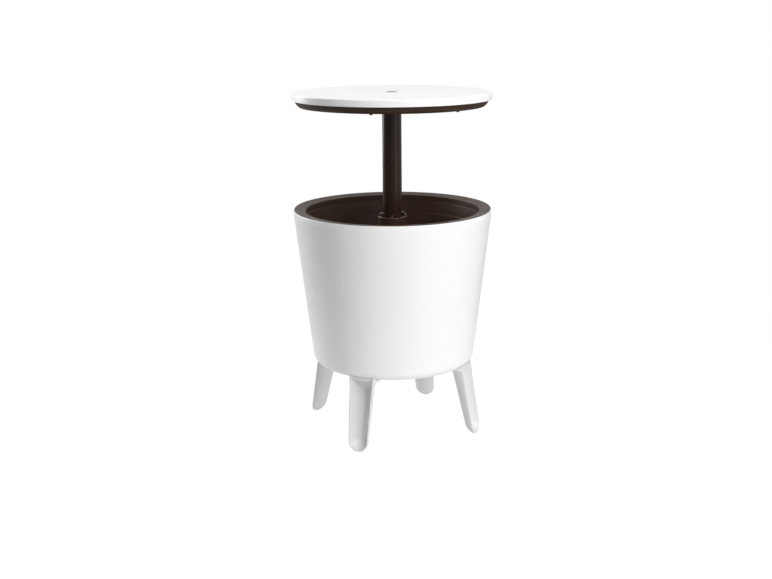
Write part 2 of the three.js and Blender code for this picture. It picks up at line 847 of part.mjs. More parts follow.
function atDrain(mesh) {
  mesh.position.set(drainCircle, 0, 0);
  const group = new THREE.Group();
  group.rotation.z = drainTurn;
  group.add(mesh);
  return group;
}

// The whole table

const table = new THREE.Group();

table.add(makeOuterShell(), makeLiner());
table.add(makeCentrePost(), makePostGasket(), makePostNut(), makePostCollar());
table.add(makeLiftTube(), makeTubeFootPlug(), makeGuideBush());
table.add(makeTopPlate(), makeTopPan(), makeCentreScrew());

for (let i = 0; i < panScrewCount; i++) {
  const turn = panScrewTurn + fullTurn * (i / panScrewCount);
  table.add(makeScrew(`pan_screw_${i + 1}`, panScrewCircle, 0, panMiddle - seatGap, turn));
}

const oneLeg = legBody();
legTurns.forEach((turn, i) => {
  const height = tongueBottom - seatGap;
  table.add(makeLeg(`leg_${i + 1}`, oneLeg, turn));
  table.add(makeScrew(`leg_screw_${i + 1}a`, legScrewCircle, -legScrewSpread, height, turn));
  table.add(makeScrew(`leg_screw_${i + 1}b`, legScrewCircle, legScrewSpread, height, turn));
});

table.add(makeDrainPlug(), makeDrainSeal());

export default table;
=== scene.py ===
"""Ice bucket coffee table: smooth pieces, finishes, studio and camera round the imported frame.

Shapes are worked out in millimetres, and each piece turns to metres when it is finished.
"""
import math

import bmesh
import bpy
from mathutils import Matrix, Vector


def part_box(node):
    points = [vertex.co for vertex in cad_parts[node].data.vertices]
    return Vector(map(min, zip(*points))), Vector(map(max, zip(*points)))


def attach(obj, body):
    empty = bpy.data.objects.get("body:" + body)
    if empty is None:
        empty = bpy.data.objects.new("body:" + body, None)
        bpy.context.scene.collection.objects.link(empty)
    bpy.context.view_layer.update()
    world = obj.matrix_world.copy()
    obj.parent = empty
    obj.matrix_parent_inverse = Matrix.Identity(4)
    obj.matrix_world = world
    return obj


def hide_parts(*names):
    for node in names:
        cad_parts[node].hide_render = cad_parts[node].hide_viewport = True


bl_info = {
    "name": "Ice bucket coffee table",
    "version": (1, 0, 0),
    "blender": (4, 5, 0),
    "location": "3D View > Sidebar > Ice table",
    "description": "Builds the smooth pieces, finishes and studio of a lift-top ice bucket table",
    "category": "Object",
}

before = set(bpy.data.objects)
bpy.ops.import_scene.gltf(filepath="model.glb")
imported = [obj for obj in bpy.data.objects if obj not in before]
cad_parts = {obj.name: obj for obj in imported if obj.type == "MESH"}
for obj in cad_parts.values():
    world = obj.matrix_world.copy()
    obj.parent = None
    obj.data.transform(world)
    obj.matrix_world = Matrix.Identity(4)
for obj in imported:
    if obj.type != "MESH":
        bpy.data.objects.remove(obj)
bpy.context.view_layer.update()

MM = 0.001


def span(node):
    """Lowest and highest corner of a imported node, in millimetres."""
    low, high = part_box(node)
    return low / MM, high / MM


def linear(text):
    """Turns an sRGB hex colour into the linear colour that Blender works in."""
    parts = [int(text[i:i + 2], 16) / 255 for i in (1, 3, 5)]
    return tuple(p / 12.92 if p <= 0.04045 else ((p + 0.055) / 1.055) ** 2.4 for p in parts)


# Sizes read from the frame

SHELL_LOW, SHELL_HIGH = span("outer_shell")
LINER_LOW, LINER_HIGH = span("liner")
POST_LOW, POST_HIGH = span("centre_post")
COLLAR_LOW, COLLAR_HIGH = span("post_collar")
TUBE_LOW, TUBE_HIGH = span("lift_tube")
PLATE_HIGH = span("top_plate")[1]
PAN_LOW, PAN_HIGH = span("top_pan")
NUT_LOW, NUT_HIGH = span("post_nut")
GASKET_HIGH = span("post_gasket")[1]
HEAD_LOW, HEAD_HIGH = span("centre_screw")
DRAIN_LOW, DRAIN_HIGH = span("drain_plug")
SEAL_LOW, SEAL_HIGH = span("drain_seal")

# Sizes that the pieces share, in millimetres

SEAT_GAP = 0.3
RUNNING_GAP = 0.5
THREAD_GAP = 0.4
OVERRUN = 5  # how far a cutting tool reaches past what it cuts
SLIVER = 0.05  # keeps the faces of two cuts apart
NARROW_SIDES = 96  # sides of the narrower turned pieces
WALL_TAPER_SHARE = 0.113
TAPER = math.atan(WALL_TAPER_SHARE)
WALL = 3
RIM_WIDTH = 28
RIM_DROP = 4.4
STUB_RADIUS = 20
STUB_HOLE = STUB_RADIUS + THREAD_GAP
TUBE_RADIUS = 23.75
BORE_RADIUS = TUBE_RADIUS + RUNNING_GAP
LUG_COUNT = 4
LUG_WIDTH = 14
LUG_HEIGHT = 8
LUG_RADIUS = TUBE_HIGH.x
POST_BORE = math.hypot(LUG_RADIUS, LUG_WIDTH / 2) + RUNNING_GAP
POST_RADIUS = POST_BORE + WALL
COLLAR_THICKNESS = 9
COLLAR_TOP = LINER_HIGH.z - 21
COLLAR_BOTTOM = COLLAR_TOP - COLLAR_THICKNESS
TOP_HEIGHT = PLATE_HIGH.z
SKIRT_DEPTH = 17
RECESS_DEPTH = 7
SKIRT_INSET = 0.7
SHANK_RADIUS = 7
SHANK_HOLE = SHANK_RADIUS + THREAD_GAP
PAN_BOTTOM = TOP_HEIGHT - 33.6
PAN_MIDDLE = PAN_BOTTOM + 4
PAN_SCREW_COUNT = 6
PAN_SCREW_CIRCLE = 150
PAN_SCREW_TURN = math.radians(-95)
SCREW_RADIUS = 2.2
SCREW_HOLE = SCREW_RADIUS + THREAD_GAP
SCREW_BOSS = 6.5
BUCKET_BOTTOM = SHELL_LOW.z
SHELL_CORNER = 22
LEG_TURNS = [math.radians(turn) for turn in (-135, -45, 45, 135)]
LEG_SCREW_CIRCLE = 135.84
LEG_SCREW_SPREAD = 15
TONGUE_THICKNESS = 5
TONGUE_BOTTOM = BUCKET_BOTTOM - SEAT_GAP - TONGUE_THICKNESS
DRAIN_PLACE = Vector((0, (DRAIN_LOW.y + DRAIN_HIGH.y) / 2, 0))
SPOUT_BORE = 10
SPOUT_RADIUS = 14


class TableSizes(bpy.types.PropertyGroup):
    """Sizes that set how the pieces are drawn"""

    sides: bpy.props.IntProperty(
        name="Round sides", description="Sides of the big turned pieces", default=192, min=48)
    soft_edge: bpy.props.FloatProperty(
        name="Soft edge", description="Round on moulded edges", default=0.8 * MM, unit="LENGTH")
    shell_lip: bpy.props.FloatProperty(
        name="Shell lip", description="Round at the top of the shell",
        default=2.5 * MM, unit="LENGTH")
    plate_edge: bpy.props.FloatProperty(
        name="Plate edge", description="Round at the edge of the table top",
        default=4 * MM, unit="LENGTH")
    leg_lip: bpy.props.FloatProperty(
        name="Leg lip", description="Half the thickness of a leg's rounded lip",
        default=2 * MM, unit="LENGTH")
    thread_pitch: bpy.props.FloatProperty(
        name="Thread pitch", description="Pitch of the screws", default=1.8 * MM, unit="LENGTH")
    floor_size: bpy.props.FloatProperty(
        name="Floor size", description="Width of the studio floor", default=8, unit="LENGTH")


class TableColours(bpy.types.PropertyGroup):
    """Colours of the moulded plastics, rubber and steel"""

    white: bpy.props.FloatVectorProperty(
        name="White", description="Shell and top", subtype="COLOR", default=linear("#f0f0f0"))
    # Legs: the tub's white painted a shade darker, as painted shade on the legs
    legs: bpy.props.FloatVectorProperty(
        name="Legs", description="Legs", subtype="COLOR", default=linear("#dadada"))
    brown: bpy.props.FloatVectorProperty(
        name="Brown", description="Liner, post and pan", subtype="COLOR", default=linear("#37261a"))
    tube: bpy.props.FloatVectorProperty(
        name="Tube", description="Lift tube", subtype="COLOR", default=linear("#2b1d14"))
    dark: bpy.props.FloatVectorProperty(
        name="Dark", description="Centre screw, bush and plugs", subtype="COLOR",
        default=linear("#28211e"))
    rubber: bpy.props.FloatVectorProperty(
        name="Rubber", description="Gasket and seal", subtype="COLOR", default=linear("#1d1b1a"))
    zinc: bpy.props.FloatVectorProperty(
        name="Zinc", description="Plated screws", subtype="COLOR", default=linear("#c6c8c9"))


def sizes():
    """The user's sizes."""
    return bpy.context.scene.table_sizes


def colours():
    """The user's colours."""
    return bpy.context.scene.table_colours


# Outlines


def arc(x, y, size, start, stop, steps=12):
    """Points of an arc in its own plane, angles in radians."""
    turns = [start + (stop - start) * i / steps for i in range(steps + 1)]
    return [(x + size * math.cos(t), y + size * math.sin(t)) for t in turns]


def rounded(corners, closed):
    """A line through corners of (radius, height, round), with each corner rounded."""
    line = []
    most_share = 0.49
    for i, (x, z, size) in enumerate(corners):
        here = Vector((x, z))
        at_end = not closed and i in (0, len(corners) - 1)
        if size == 0 or at_end:
            line.append(here)
            continue
        back = Vector(corners[i - 1][:2]) - here
        ahead = Vector(corners[(i + 1) % len(corners)][:2]) - here
        half = back.angle(ahead) / 2
        reach = min(size / math.tan(half), most_share * back.length, most_share * ahead.length)
        back.normalize()
        ahead.normalize()
        centre = here + (back + ahead).normalized() * (reach / math.cos(half))
        start = here + back * reach - centre
        stop = here + ahead * reach - centre
        steps = min(14, 4 + int(size / 2))
        line += [centre + start.slerp(stop, k / steps).normalized() * start.length
                 for k in range(steps + 1)]
    return line


def guarded(line, closed):
    """Adds a point near both ends of each long straight, so that rounds don't shade across it."""
    guard = 0.7
    points = []
    pairs = zip(line, line[1:] + line[:1]) if closed else zip(line, line[1:])
    for here, ahead in pairs:
        points.append(here)
        way = ahead - here
        if way.length > 6 * guard:
            points += [here + way.normalized() * guard, ahead - way.normalized() * guard]
    return points if closed else points + [line[-1]]


# Meshes


def put(form, name):
    """Turns a bmesh into an object in the scene."""
    mesh = bpy.data.meshes.new(name)
    bmesh.ops.recalc_face_normals(form, faces=form.faces)
    form.to_mesh(mesh)
    form.free()
    body = bpy.data.objects.new(name, mesh)
    bpy.context.scene.collection.objects.link(body)
    return body


def turned(name, corners, sides=None):
    """A solid turned round the Z axis from an outline, closed on the axis or on itself."""
    sides = sides or sizes().sides
    closed = corners[0][0] > 0
    line = guarded(rounded(corners, closed), closed)
    form = bmesh.new()
    rings = []
    for x, z in line:
        if x < MM:
            rings.append([form.verts.new((0, 0, z))] * sides)
            continue
        turns = [math.tau * i / sides for i in range(sides)]
        rings.append([form.verts.new((x * math.cos(t), x * math.sin(t), z)) for t in turns])
    if closed:
        rings.append(rings[0])
    for low, high in zip(rings, rings[1:]):
        for i in range(sides):
            k = (i + 1) % sides
            corner = list(dict.fromkeys((low[i], low[k], high[k], high[i])))
            if len(corner) > 2:
                form.faces.new(corner)
    return put(form, name)


def block(low, high, soft=0, steps=3):
    """A block between two corners, with its edges rounded."""
    form = bmesh.new()
    bmesh.ops.create_cube(form, size=1)
    low, high = Vector(low), Vector(high)
    for v in form.verts:
        v.co = Vector((low[i] if v.co[i] < 0 else high[i] for i in range(3)))
    if soft:
        bmesh.ops.bevel(form, geom=form.edges[:], offset=soft, segments=steps, profile=0.5,
                        affect="EDGES", clamp_overlap=True)
    return put(form, "block")


def rod(radius, bottom, top, top_radius=None, sides=48):
    """A round rod along Z, straight or tapered."""
    form = bmesh.new()
    top_radius = top_radius or radius
    made = bmesh.ops.create_cone(form, cap_ends=True, segments=sides, radius1=radius,
                                 radius2=top_radius, depth=top - bottom)
    bmesh.ops.translate(form, verts=made["verts"], vec=(0, 0, (top + bottom) / 2))
    return put(form, "rod")


def pulled(corners, way):
    """A bmesh of a flat outline, pulled along a way into a solid."""
    form = bmesh.new()
    face = form.faces.new([form.verts.new(corner) for corner in corners])
    made = bmesh.ops.extrude_face_region(form, geom=[face])
    far = [v for v in made["geom"] if isinstance(v, bmesh.types.BMVert)]
    bmesh.ops.translate(form, verts=far, vec=way)
    return form


def slab(points, thickness, soft=0):
    """A flat outline of (x, z) points made into a slab across Y."""
    form = pulled([(x, -thickness / 2, z) for x, z in points], (0, thickness, 0))
    if soft:
        bmesh.ops.bevel(form, geom=form.edges[:], offset=soft, segments=3, profile=0.5,
                        affect="EDGES", clamp_overlap=True)
    return put(form, "slab")


def moved(body, place=(0, 0, 0), turn=0):
    """Moves a body's mesh to a place and then turns it round the Z axis."""
    body.data.transform(Matrix.Rotation(turn, 4, "Z") @ Matrix.Translation(Vector(place)))
    return body


def ring(count, first, make):
    """Copies of a body, evenly spaced round the Z axis."""
    return [moved(make(), turn=first + math.tau * i / count) for i in range(count)]


def shaped(body, tools, operation):
    """Joins tools to a body or cuts them from it. The tools lie clear of each other."""
    form = bmesh.new()
    for tool in tools:
        form.from_mesh(tool.data)
        bpy.data.objects.remove(tool)
    tool = put(form, "tool")
    change = body.modifiers.new("change", "BOOLEAN")
    change.operation = operation
    change.solver = "EXACT"
    change.object = tool
    bpy.context.view_layer.update()
    made = body.evaluated_get(bpy.context.evaluated_depsgraph_get())
    mesh = bpy.data.meshes.new_from_object(made)
    body.modifiers.clear()
    body.data = mesh
    bpy.data.objects.remove(tool)
    return body


def joined(body, tools):
    """The body with tools added."""
    return shaped(body, tools, "UNION")


def cut(body, tools):
    """The body with tools taken away."""
    return shaped(body, tools, "DIFFERENCE")


def shade(body, sharpest=math.radians(32)):
    """Smooth faces, with an edge kept sharp where the faces turn by more than an angle."""
    form = bmesh.new()
    form.from_mesh(body.data)
    bmesh.ops.remove_doubles(form, verts=form.verts, dist=MM)
    bmesh.ops.dissolve_degenerate(form, edges=form.edges, dist=MM)
    for face in form.faces:
        face.smooth = True
    for edge in form.edges:
        edge.smooth = len(edge.link_faces) == 2 and edge.calc_face_angle() < sharpest
    form.to_mesh(body.data)
    form.free()


def finish(body, name, rides_on, material, node=None):
    """Names a piece, turns it to metres, gives it its finish and sets it in place of its node."""
    shade(body)
    body.data.transform(Matrix.Scale(MM, 4))
    body.name = name
    body.data.name = name
    body.data.materials.clear()
    body.data.materials.append(material)
    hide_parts(node or name)
    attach(body, rides_on)
    return body


def copy_of(body):
    """A second body with its own mesh."""
    twin = bpy.data.objects.new(body.name, body.data.copy())
    bpy.context.scene.collection.objects.link(twin)
    return twin


# Finishes


COLOUR_A, COLOUR_B, COLOUR_OUT = 6, 7, 2  # sockets of a Mix node that is set to colours
DUST = (0.32, 0.3, 0.28)


def add_node(material, kind, settings=(), values=(), links=()):
    """Adds a node with its settings, its socket values and its links from other sockets."""
    node = material.node_tree.nodes.new(kind)
    for name, value in dict(settings).items():
        setattr(node, name, value)
    for name, value in dict(values).items():
        node.inputs[name].default_value = value
    for name, socket in dict(links).items():
        material.node_tree.links.new(socket, node.inputs[name])
    return node


def new_material(name):
    """An empty node material and its output node."""
    material = bpy.data.materials.new(name)
    material.use_nodes = True
    material.node_tree.nodes.clear()
    return material, add_node(material, "ShaderNodeOutputMaterial")


def per_mm(size):
    """The scale of a pattern whose marks are a size in millimetres apart."""
    return 1 / (size * MM)


def mixed(colour, share, towards):
    """A colour moved by a share towards another."""
    return (*[c + (t - c) * share for c, t in zip(colour, towards)], 1)


def moulded(name, colour, roughness, grain, grain_depth, cloud, fade, specular=0.5, ior=1.49):
    """Moulded plastic: fine grain of the mould, faint flow clouds and uneven gloss. Grain, its
    depth and clouds are in millimetres, and fade is how far the clouds go towards dust.
    """
    material, output = new_material(name)
    place = add_node(material, "ShaderNodeTexCoord").outputs["Object"]
    clouds = add_node(material, "ShaderNodeTexNoise", values={"Scale": per_mm(cloud), "Detail": 3},
                      links={"Vector": place})
    tint = add_node(material, "ShaderNodeMix", {"data_type": "RGBA"},
                    {COLOUR_A: (*colour, 1), COLOUR_B: mixed(colour, fade, DUST)},
                    {"Factor": clouds.outputs["Fac"]})
    gloss = add_node(material, "ShaderNodeMapRange",
                     values={"From Min": 0.3, "From Max": 0.7, "To Min": roughness - 0.04,
                             "To Max": roughness + 0.05},
                     links={"Value": clouds.outputs["Fac"]})
    marks = add_node(material, "ShaderNodeTexNoise", values={"Scale": per_mm(grain), "Detail": 2},
                     links={"Vector": place})
    bump = add_node(material, "ShaderNodeBump",
                    values={"Strength": 0.5, "Distance": grain_depth * MM},
                    links={"Height": marks.outputs["Fac"]})
    shader = add_node(material, "ShaderNodeBsdfPrincipled",
                      values={"IOR": ior, "Specular IOR Level": specular},
                      links={"Base Color": tint.outputs[COLOUR_OUT],
                             "Roughness": gloss.outputs["Result"],
                             "Normal": bump.outputs["Normal"]})
    material.node_tree.links.new(shader.outputs["BSDF"], output.inputs["Surface"])
    return material


def white_polypropylene():
    """Satin white polypropylene: soft broad highlights. Its grain is drawn coarser, to show."""
    return moulded("white_polypropylene_moulded", colours().white, roughness=0.42,
                   grain=2.4, grain_depth=0.012, cloud=90, fade=0.03)


def leg_polypropylene_painted_shade():
    """Satin white polypropylene of the legs, painted a shade greyer than the tub's: painted shade
    that stands in for shade on the legs.
    """
    return moulded("white_polypropylene_legs_painted_shade", colours().legs, roughness=0.42,
                   grain=2.4, grain_depth=0.012, cloud=90, fade=0.03)


def brown_polypropylene():
    """Satin brown polypropylene: a faint grey bloom where it faces the light."""
    return moulded("brown_polypropylene_moulded", colours().brown, roughness=0.47,
                   grain=2.2, grain_depth=0.03, cloud=45, fade=0.02, specular=0.18)


def polished_polypropylene():
    """The same brown plastic on the collar, polished where the lugs rub: small bright edges."""
    return moulded("brown_polypropylene_polished", colours().brown, roughness=0.3,
                   grain=2.2, grain_depth=0.01, cloud=45, fade=0.02, specular=0.45)


def tube_polypropylene():
    """Extruded brown tube, smoother than the moulded pieces: a clear highlight down its side."""
    return moulded("brown_tube_extruded", colours().tube, roughness=0.27,
                   grain=3.5, grain_depth=0.008, cloud=70, fade=0.01, specular=0.1)


def dark_nylon():
    """Dark glass-filled nylon of the screw, bush and plugs: dull, with a slight mottle."""
    return moulded("dark_nylon_moulded", colours().dark, roughness=0.5,
                   grain=1.6, grain_depth=0.02, cloud=12, fade=0.05, specular=0.2, ior=1.53)


def seal_rubber():
    """Cured rubber: nearly matt, with a dusty bloom."""
    return moulded("rubber_cured", colours().rubber, roughness=0.78,
                   grain=1.2, grain_depth=0.02, cloud=8, fade=0.08, specular=0.4, ior=1.52)


def zinc_plate():
    """Zinc-plated steel: cool grey metal, fogged by the plating bath."""
    material, output = new_material("steel_zinc_plated")
    place = add_node(material, "ShaderNodeTexCoord").outputs["Object"]
    fog = add_node(material, "ShaderNodeTexNoise", values={"Scale": per_mm(3), "Detail": 4},
                   links={"Vector": place})
    zinc, haze = colours().zinc, (0.3, 0.31, 0.33)
    tint = add_node(material, "ShaderNodeMix", {"data_type": "RGBA"},
                    {COLOUR_A: (*zinc, 1), COLOUR_B: mixed(zinc, 0.35, haze)},
                    {"Factor": fog.outputs["Fac"]})
    gloss = add_node(material, "ShaderNodeMapRange", values={"To Min": 0.24, "To Max": 0.42},
                     links={"Value": fog.outputs["Fac"]})
    shader = add_node(material, "ShaderNodeBsdfPrincipled", values={"Metallic": 1},
                      links={"Base Color": tint.outputs[COLOUR_OUT],
                             "Roughness": gloss.outputs["Result"]})
    material.node_tree.links.new(shader.outputs["BSDF"], output.inputs["Surface"])
    return material


def material_of(make):
    """The finish that a function makes, made once."""
    key = "finish:" + make.__name__
    name = bpy.context.scene.get(key)
    if name is None:
        name = make().name
        bpy.context.scene[key] = name
    return bpy.data.materials[name]


# Bucket


def wall_corners(offset, hole, corner):
    """The tub's outline from the bottom hole up its tapered wall, moved out by an offset."""
    band_foot = SHELL_HIGH.z - 11.7
    radius = SHELL_HIGH.x + offset / math.cos(TAPER)
    bottom = BUCKET_BOTTOM - offset
    return [
        (hole, bottom, 0.4),
        (radius - (band_foot - bottom) * WALL_TAPER_SHARE, bottom, corner),
        (radius, band_foot, 12),
    ]


def outer_shell():
    """White tapered tub with a rounded lip, and screw bosses inside its bottom."""
    lip = sizes().shell_lip / MM
    outside = wall_corners(0, STUB_HOLE, SHELL_CORNER)
    inside = wall_corners(-WALL, STUB_HOLE, SHELL_CORNER - WALL)
    top = SHELL_HIGH.z
    body = turned("outer_shell", [
        *outside,
        (outside[-1][0], top, lip),
        (inside[-1][0], top, 0.4),
        *reversed(inside),
    ])
    low, boss_top = BUCKET_BOTTOM - OVERRUN, BUCKET_BOTTOM + WALL + 16
    bosses, holes = [], []
    for turn in LEG_TURNS:
        for side in (-LEG_SCREW_SPREAD, LEG_SCREW_SPREAD):
            place = (LEG_SCREW_CIRCLE, side, 0)
            boss = rod(SCREW_BOSS, BUCKET_BOTTOM + 1, boss_top, SCREW_BOSS - 0.4)
            hole = rod(SCREW_HOLE, low, boss_top - WALL)
            bosses.append(moved(boss, place, turn))
            holes.append(moved(hole, place, turn))
    spout_hole = rod(SPOUT_RADIUS + RUNNING_GAP, low, BUCKET_BOTTOM + WALL + OVERRUN)
    holes.append(moved(spout_hole, DRAIN_PLACE))
    return cut(joined(body, bosses), holes)


def liner():
    """Brown inner tub: sloped rim ring, two ledges, rounded floor, drain spout and spacer."""
    soft = sizes().soft_edge / MM
    rim, rim_radius = LINER_HIGH.z, LINER_HIGH.x
    mouth = rim_radius - RIM_WIDTH
    ring_slope = RIM_DROP / RIM_WIDTH
    under = rim - WALL
    edge_under = rim - 1.5
    lip_foot = under - 9
    upper, lower = rim - 20, rim - 50
    band_top = mouth - 2.4
    band_foot = band_top - 3.2
    wall_top = band_foot - 2.6
    floor = BUCKET_BOTTOM + 29
    floor_corner = wall_top - (lower - floor) * WALL_TAPER_SHARE
    under_floor = floor - WALL
    under_corner = wall_top + WALL / math.cos(TAPER) - (lower - under_floor) * WALL_TAPER_SHARE
    rib = SHELL_HIGH.x - WALL / math.cos(TAPER) - SEAT_GAP
    spacer = STUB_HOLE + 8
    spacer_foot = BUCKET_BOTTOM + WALL + SEAT_GAP
    body = turned("liner", [
        (STUB_HOLE, spacer_foot, 0.3),
        (spacer, spacer_foot, 0.6),
        (spacer, under_floor, 2),
        (under_corner, under_floor, 29),
        (wall_top + WALL, lower - WALL, 2),
        (band_foot + WALL, lower, 2),
        (mouth + WALL, upper, 2),
        (mouth + WALL, under - RIM_DROP, 1),
        (rib - WALL, under - (rim_radius - rib + WALL) * ring_slope, 1),
        (rib - WALL, lip_foot, 0.6),
        (rib, lip_foot, 0.6),
        (rib, edge_under, 0.2),
        (rim_radius, edge_under, 0.3),
        (rim_radius, rim, 1.2),
        (mouth, rim - RIM_DROP, 1.4),
        (mouth, upper + 0.8, soft),
        (band_top, upper, soft),
        (band_foot, lower + 0.8, soft),
        (wall_top, lower, soft),
        (floor_corner, floor, 26),
        (STUB_HOLE, floor, 0.3),
    ])
    spout = moved(rod(SPOUT_RADIUS, LINER_LOW.z, floor - 1), DRAIN_PLACE)
    bore = moved(rod(SPOUT_BORE, LINER_LOW.z - OVERRUN, floor + OVERRUN), DRAIN_PLACE)
    sump_depth, sump_radius = 1.5, 30
    sump = rod(SPOUT_BORE, floor - sump_depth, floor + sump_depth, sump_radius)
    body = cut(joined(body, [spout]), [bore])
    return cut(body, [moved(sump, DRAIN_PLACE)])


def centre_post():
    """Brown hollow post on a round foot, with four keyways and a stub for the nut below."""
    foot = GASKET_HIGH.z + SEAT_GAP
    foot_radius = POST_HIGH.x
    stub_bore = STUB_RADIUS - 5
    floor = foot + 4
    body = turned("centre_post", [
        (0, foot, 0),
        (stub_bore, foot, 0.5),
        (stub_bore, POST_LOW.z, 0.5),
        (STUB_RADIUS, POST_LOW.z, 1.2),
        (STUB_RADIUS, foot, 0.3),
        (foot_radius, foot, 0.5),
        (foot_radius, floor, 1.6),
        (POST_RADIUS, floor, 1.5),
        (POST_RADIUS, POST_HIGH.z, 0.5),
        (POST_BORE, POST_HIGH.z, 0.5),
        (POST_BORE, floor, 1),
        (0, floor, 0),
    ], NARROW_SIDES)
    key_width = 7.2
    way = key_width / 2 + SEAT_GAP
    deep = POST_BORE + 1.7
    keyways = ring(LUG_COUNT, math.pi / LUG_COUNT, lambda: block(
        (POST_BORE / 2, -way, floor + 8), (deep, way, POST_HIGH.z + OVERRUN)))
    return cut(body, keyways)


def post_collar():
    """Collar on the post with four slots for the lugs and a stop beside each."""
    outer = POST_RADIUS + 0.8
    spigot = POST_BORE - SEAT_GAP
    body = turned("post_collar", [
        (BORE_RADIUS, COLLAR_LOW.z, 0.4),
        (spigot, COLLAR_LOW.z, 0.8),
        (spigot, COLLAR_BOTTOM, 0.2),
        (outer, COLLAR_BOTTOM, 0.4),
        (outer, COLLAR_TOP, 1.6),
        (BORE_RADIUS, COLLAR_TOP, 0.5),
    ], NARROW_SIDES)
    half = LUG_WIDTH / 2 + RUNNING_GAP
    low, high = COLLAR_LOW.z - OVERRUN, COLLAR_TOP + OVERRUN
    slots = ring(LUG_COUNT, 0, lambda: block(
        (BORE_RADIUS / 2, -half, low), (LUG_RADIUS + RUNNING_GAP, half, high)))
    spigot_slots = ring(LUG_COUNT, 0, lambda: block(
        (BORE_RADIUS / 2, -half - SLIVER, low),
        (POST_BORE, half + SLIVER, COLLAR_BOTTOM + SEAT_GAP)))
    body = cut(cut(body, slots), spigot_slots)
    inner = LUG_RADIUS - 3
    lug_half = math.asin(LUG_WIDTH / 2 / inner)
    lock = math.radians(45)
    free = math.tau / LUG_COUNT - lock - 2 * lug_half
    stop_half = inner * math.sin(free / 2) - 0.4
    stops = ring(LUG_COUNT, lock + lug_half + free / 2, lambda: block(
        (inner, -stop_half, COLLAR_TOP - COLLAR_THICKNESS / 2),
        (outer - 1.2, stop_half, COLLAR_HIGH.z), 0.9))
    return joined(body, stops)


def post_nut():
    """Large hexagonal nut under the bucket, with turned corners."""
    low, high = NUT_LOW.z, NUT_HIGH.z
    flat, corner, slope = NUT_HIGH.x - 0.5, NUT_HIGH.y + 1, 3.2
    body = rod(NUT_HIGH.y, low, high, sides=6)
    chamfer = turned("chamfer", [
        (0, low, 0),
        (flat, low, 0),
        (corner, low + slope, 0),
        (corner, high - slope, 0),
        (flat, high, 0),
        (0, high, 0),
    ], NARROW_SIDES)
    body = shaped(body, [chamfer], "INTERSECT")
    return cut(body, [rod(STUB_HOLE, low - OVERRUN, high + OVERRUN)])


# Lift tube and table top


def lift_tube():
    """Brown tube with a closed head, a stop bead near its foot and four locking lugs."""
    bead_top = COLLAR_LOW.z - 2 * SEAT_GAP
    inner = TUBE_RADIUS - 2.5
    boss = SHANK_HOLE + 5
    top = TUBE_HIGH.z
    head, boss_foot = top - 6, top - 32
    bead, bead_foot = TUBE_RADIUS + 2.6, bead_top - 3
    body = turned("lift_tube", [
        (inner, TUBE_LOW.z, 0.5),
        (TUBE_RADIUS, TUBE_LOW.z, 0.5),
        (TUBE_RADIUS, bead_foot, 0.3),
        (bead, bead_foot, 0.8),
        (bead, bead_top, 0.8),
        (TUBE_RADIUS, bead_top, 0.3),
        (TUBE_RADIUS, top, 0.8),
        (SHANK_HOLE, top, 0.5),
        (SHANK_HOLE, boss_foot, 0.5),
        (boss, boss_foot, 0.8),
        (boss, head, 1),
        (inner, head, 1),
    ], NARROW_SIDES)
    low, half = COLLAR_TOP + SEAT_GAP, LUG_WIDTH / 2
    lugs = ring(LUG_COUNT, 0, lambda: block(
        (TUBE_RADIUS - 1.25, -half, low), (LUG_RADIUS, half, low + LUG_HEIGHT), 1.1, 4))
    return joined(body, lugs)


def top_plate():
    """White disc with a down-turned skirt, a recess for the screw, and ribs and bosses below."""
    edge = sizes().plate_edge / MM
    radius = PLATE_HIGH.x
    skirt = radius - SKIRT_INSET
    under = TOP_HEIGHT - WALL
    skirt_foot = TOP_HEIGHT - SKIRT_DEPTH
    recess = TOP_HEIGHT - RECESS_DEPTH
    recess_radius = HEAD_HIGH.x + RUNNING_GAP
    body = turned("top_plate", [
        (SHANK_HOLE, recess - WALL, 0.4),
        (recess_radius + WALL, recess - WALL, 1),
        (recess_radius + WALL, under, 1),
        (radius - WALL, under, 1.5),
        (skirt - WALL, skirt_foot, 0.8),
        (skirt, skirt_foot, 0.8),
        (radius, TOP_HEIGHT - edge - 0.5, 2),
        (radius, TOP_HEIGHT, edge),
        (recess_radius, TOP_HEIGHT, 1),
        (recess_radius, recess, 0.6),
        (SHANK_HOLE, recess, 0.4),
    ])
    rib_start, rib_half, rib_depth, sunk = BORE_RADIUS + 18, 1.25, 12, 1.5
    rib_end = radius - SKIRT_INSET - WALL - RUNNING_GAP - WALL - 14
    ribs = ring(12, PAN_SCREW_TURN, lambda: block(
        (rib_start, -rib_half, under - rib_depth), (rib_end, rib_half, under + sunk)))
    boss_foot = PAN_MIDDLE + WALL + SEAT_GAP
    place = (PAN_SCREW_CIRCLE, 0, 0)
    bosses = ring(PAN_SCREW_COUNT, PAN_SCREW_TURN, lambda: moved(
        rod(SCREW_BOSS, boss_foot, under + sunk), place))
    holes = ring(PAN_SCREW_COUNT, PAN_SCREW_TURN, lambda: moved(
        rod(SCREW_HOLE, boss_foot - OVERRUN, under - WALL), place))
    return cut(joined(joined(body, ribs), bosses), holes)


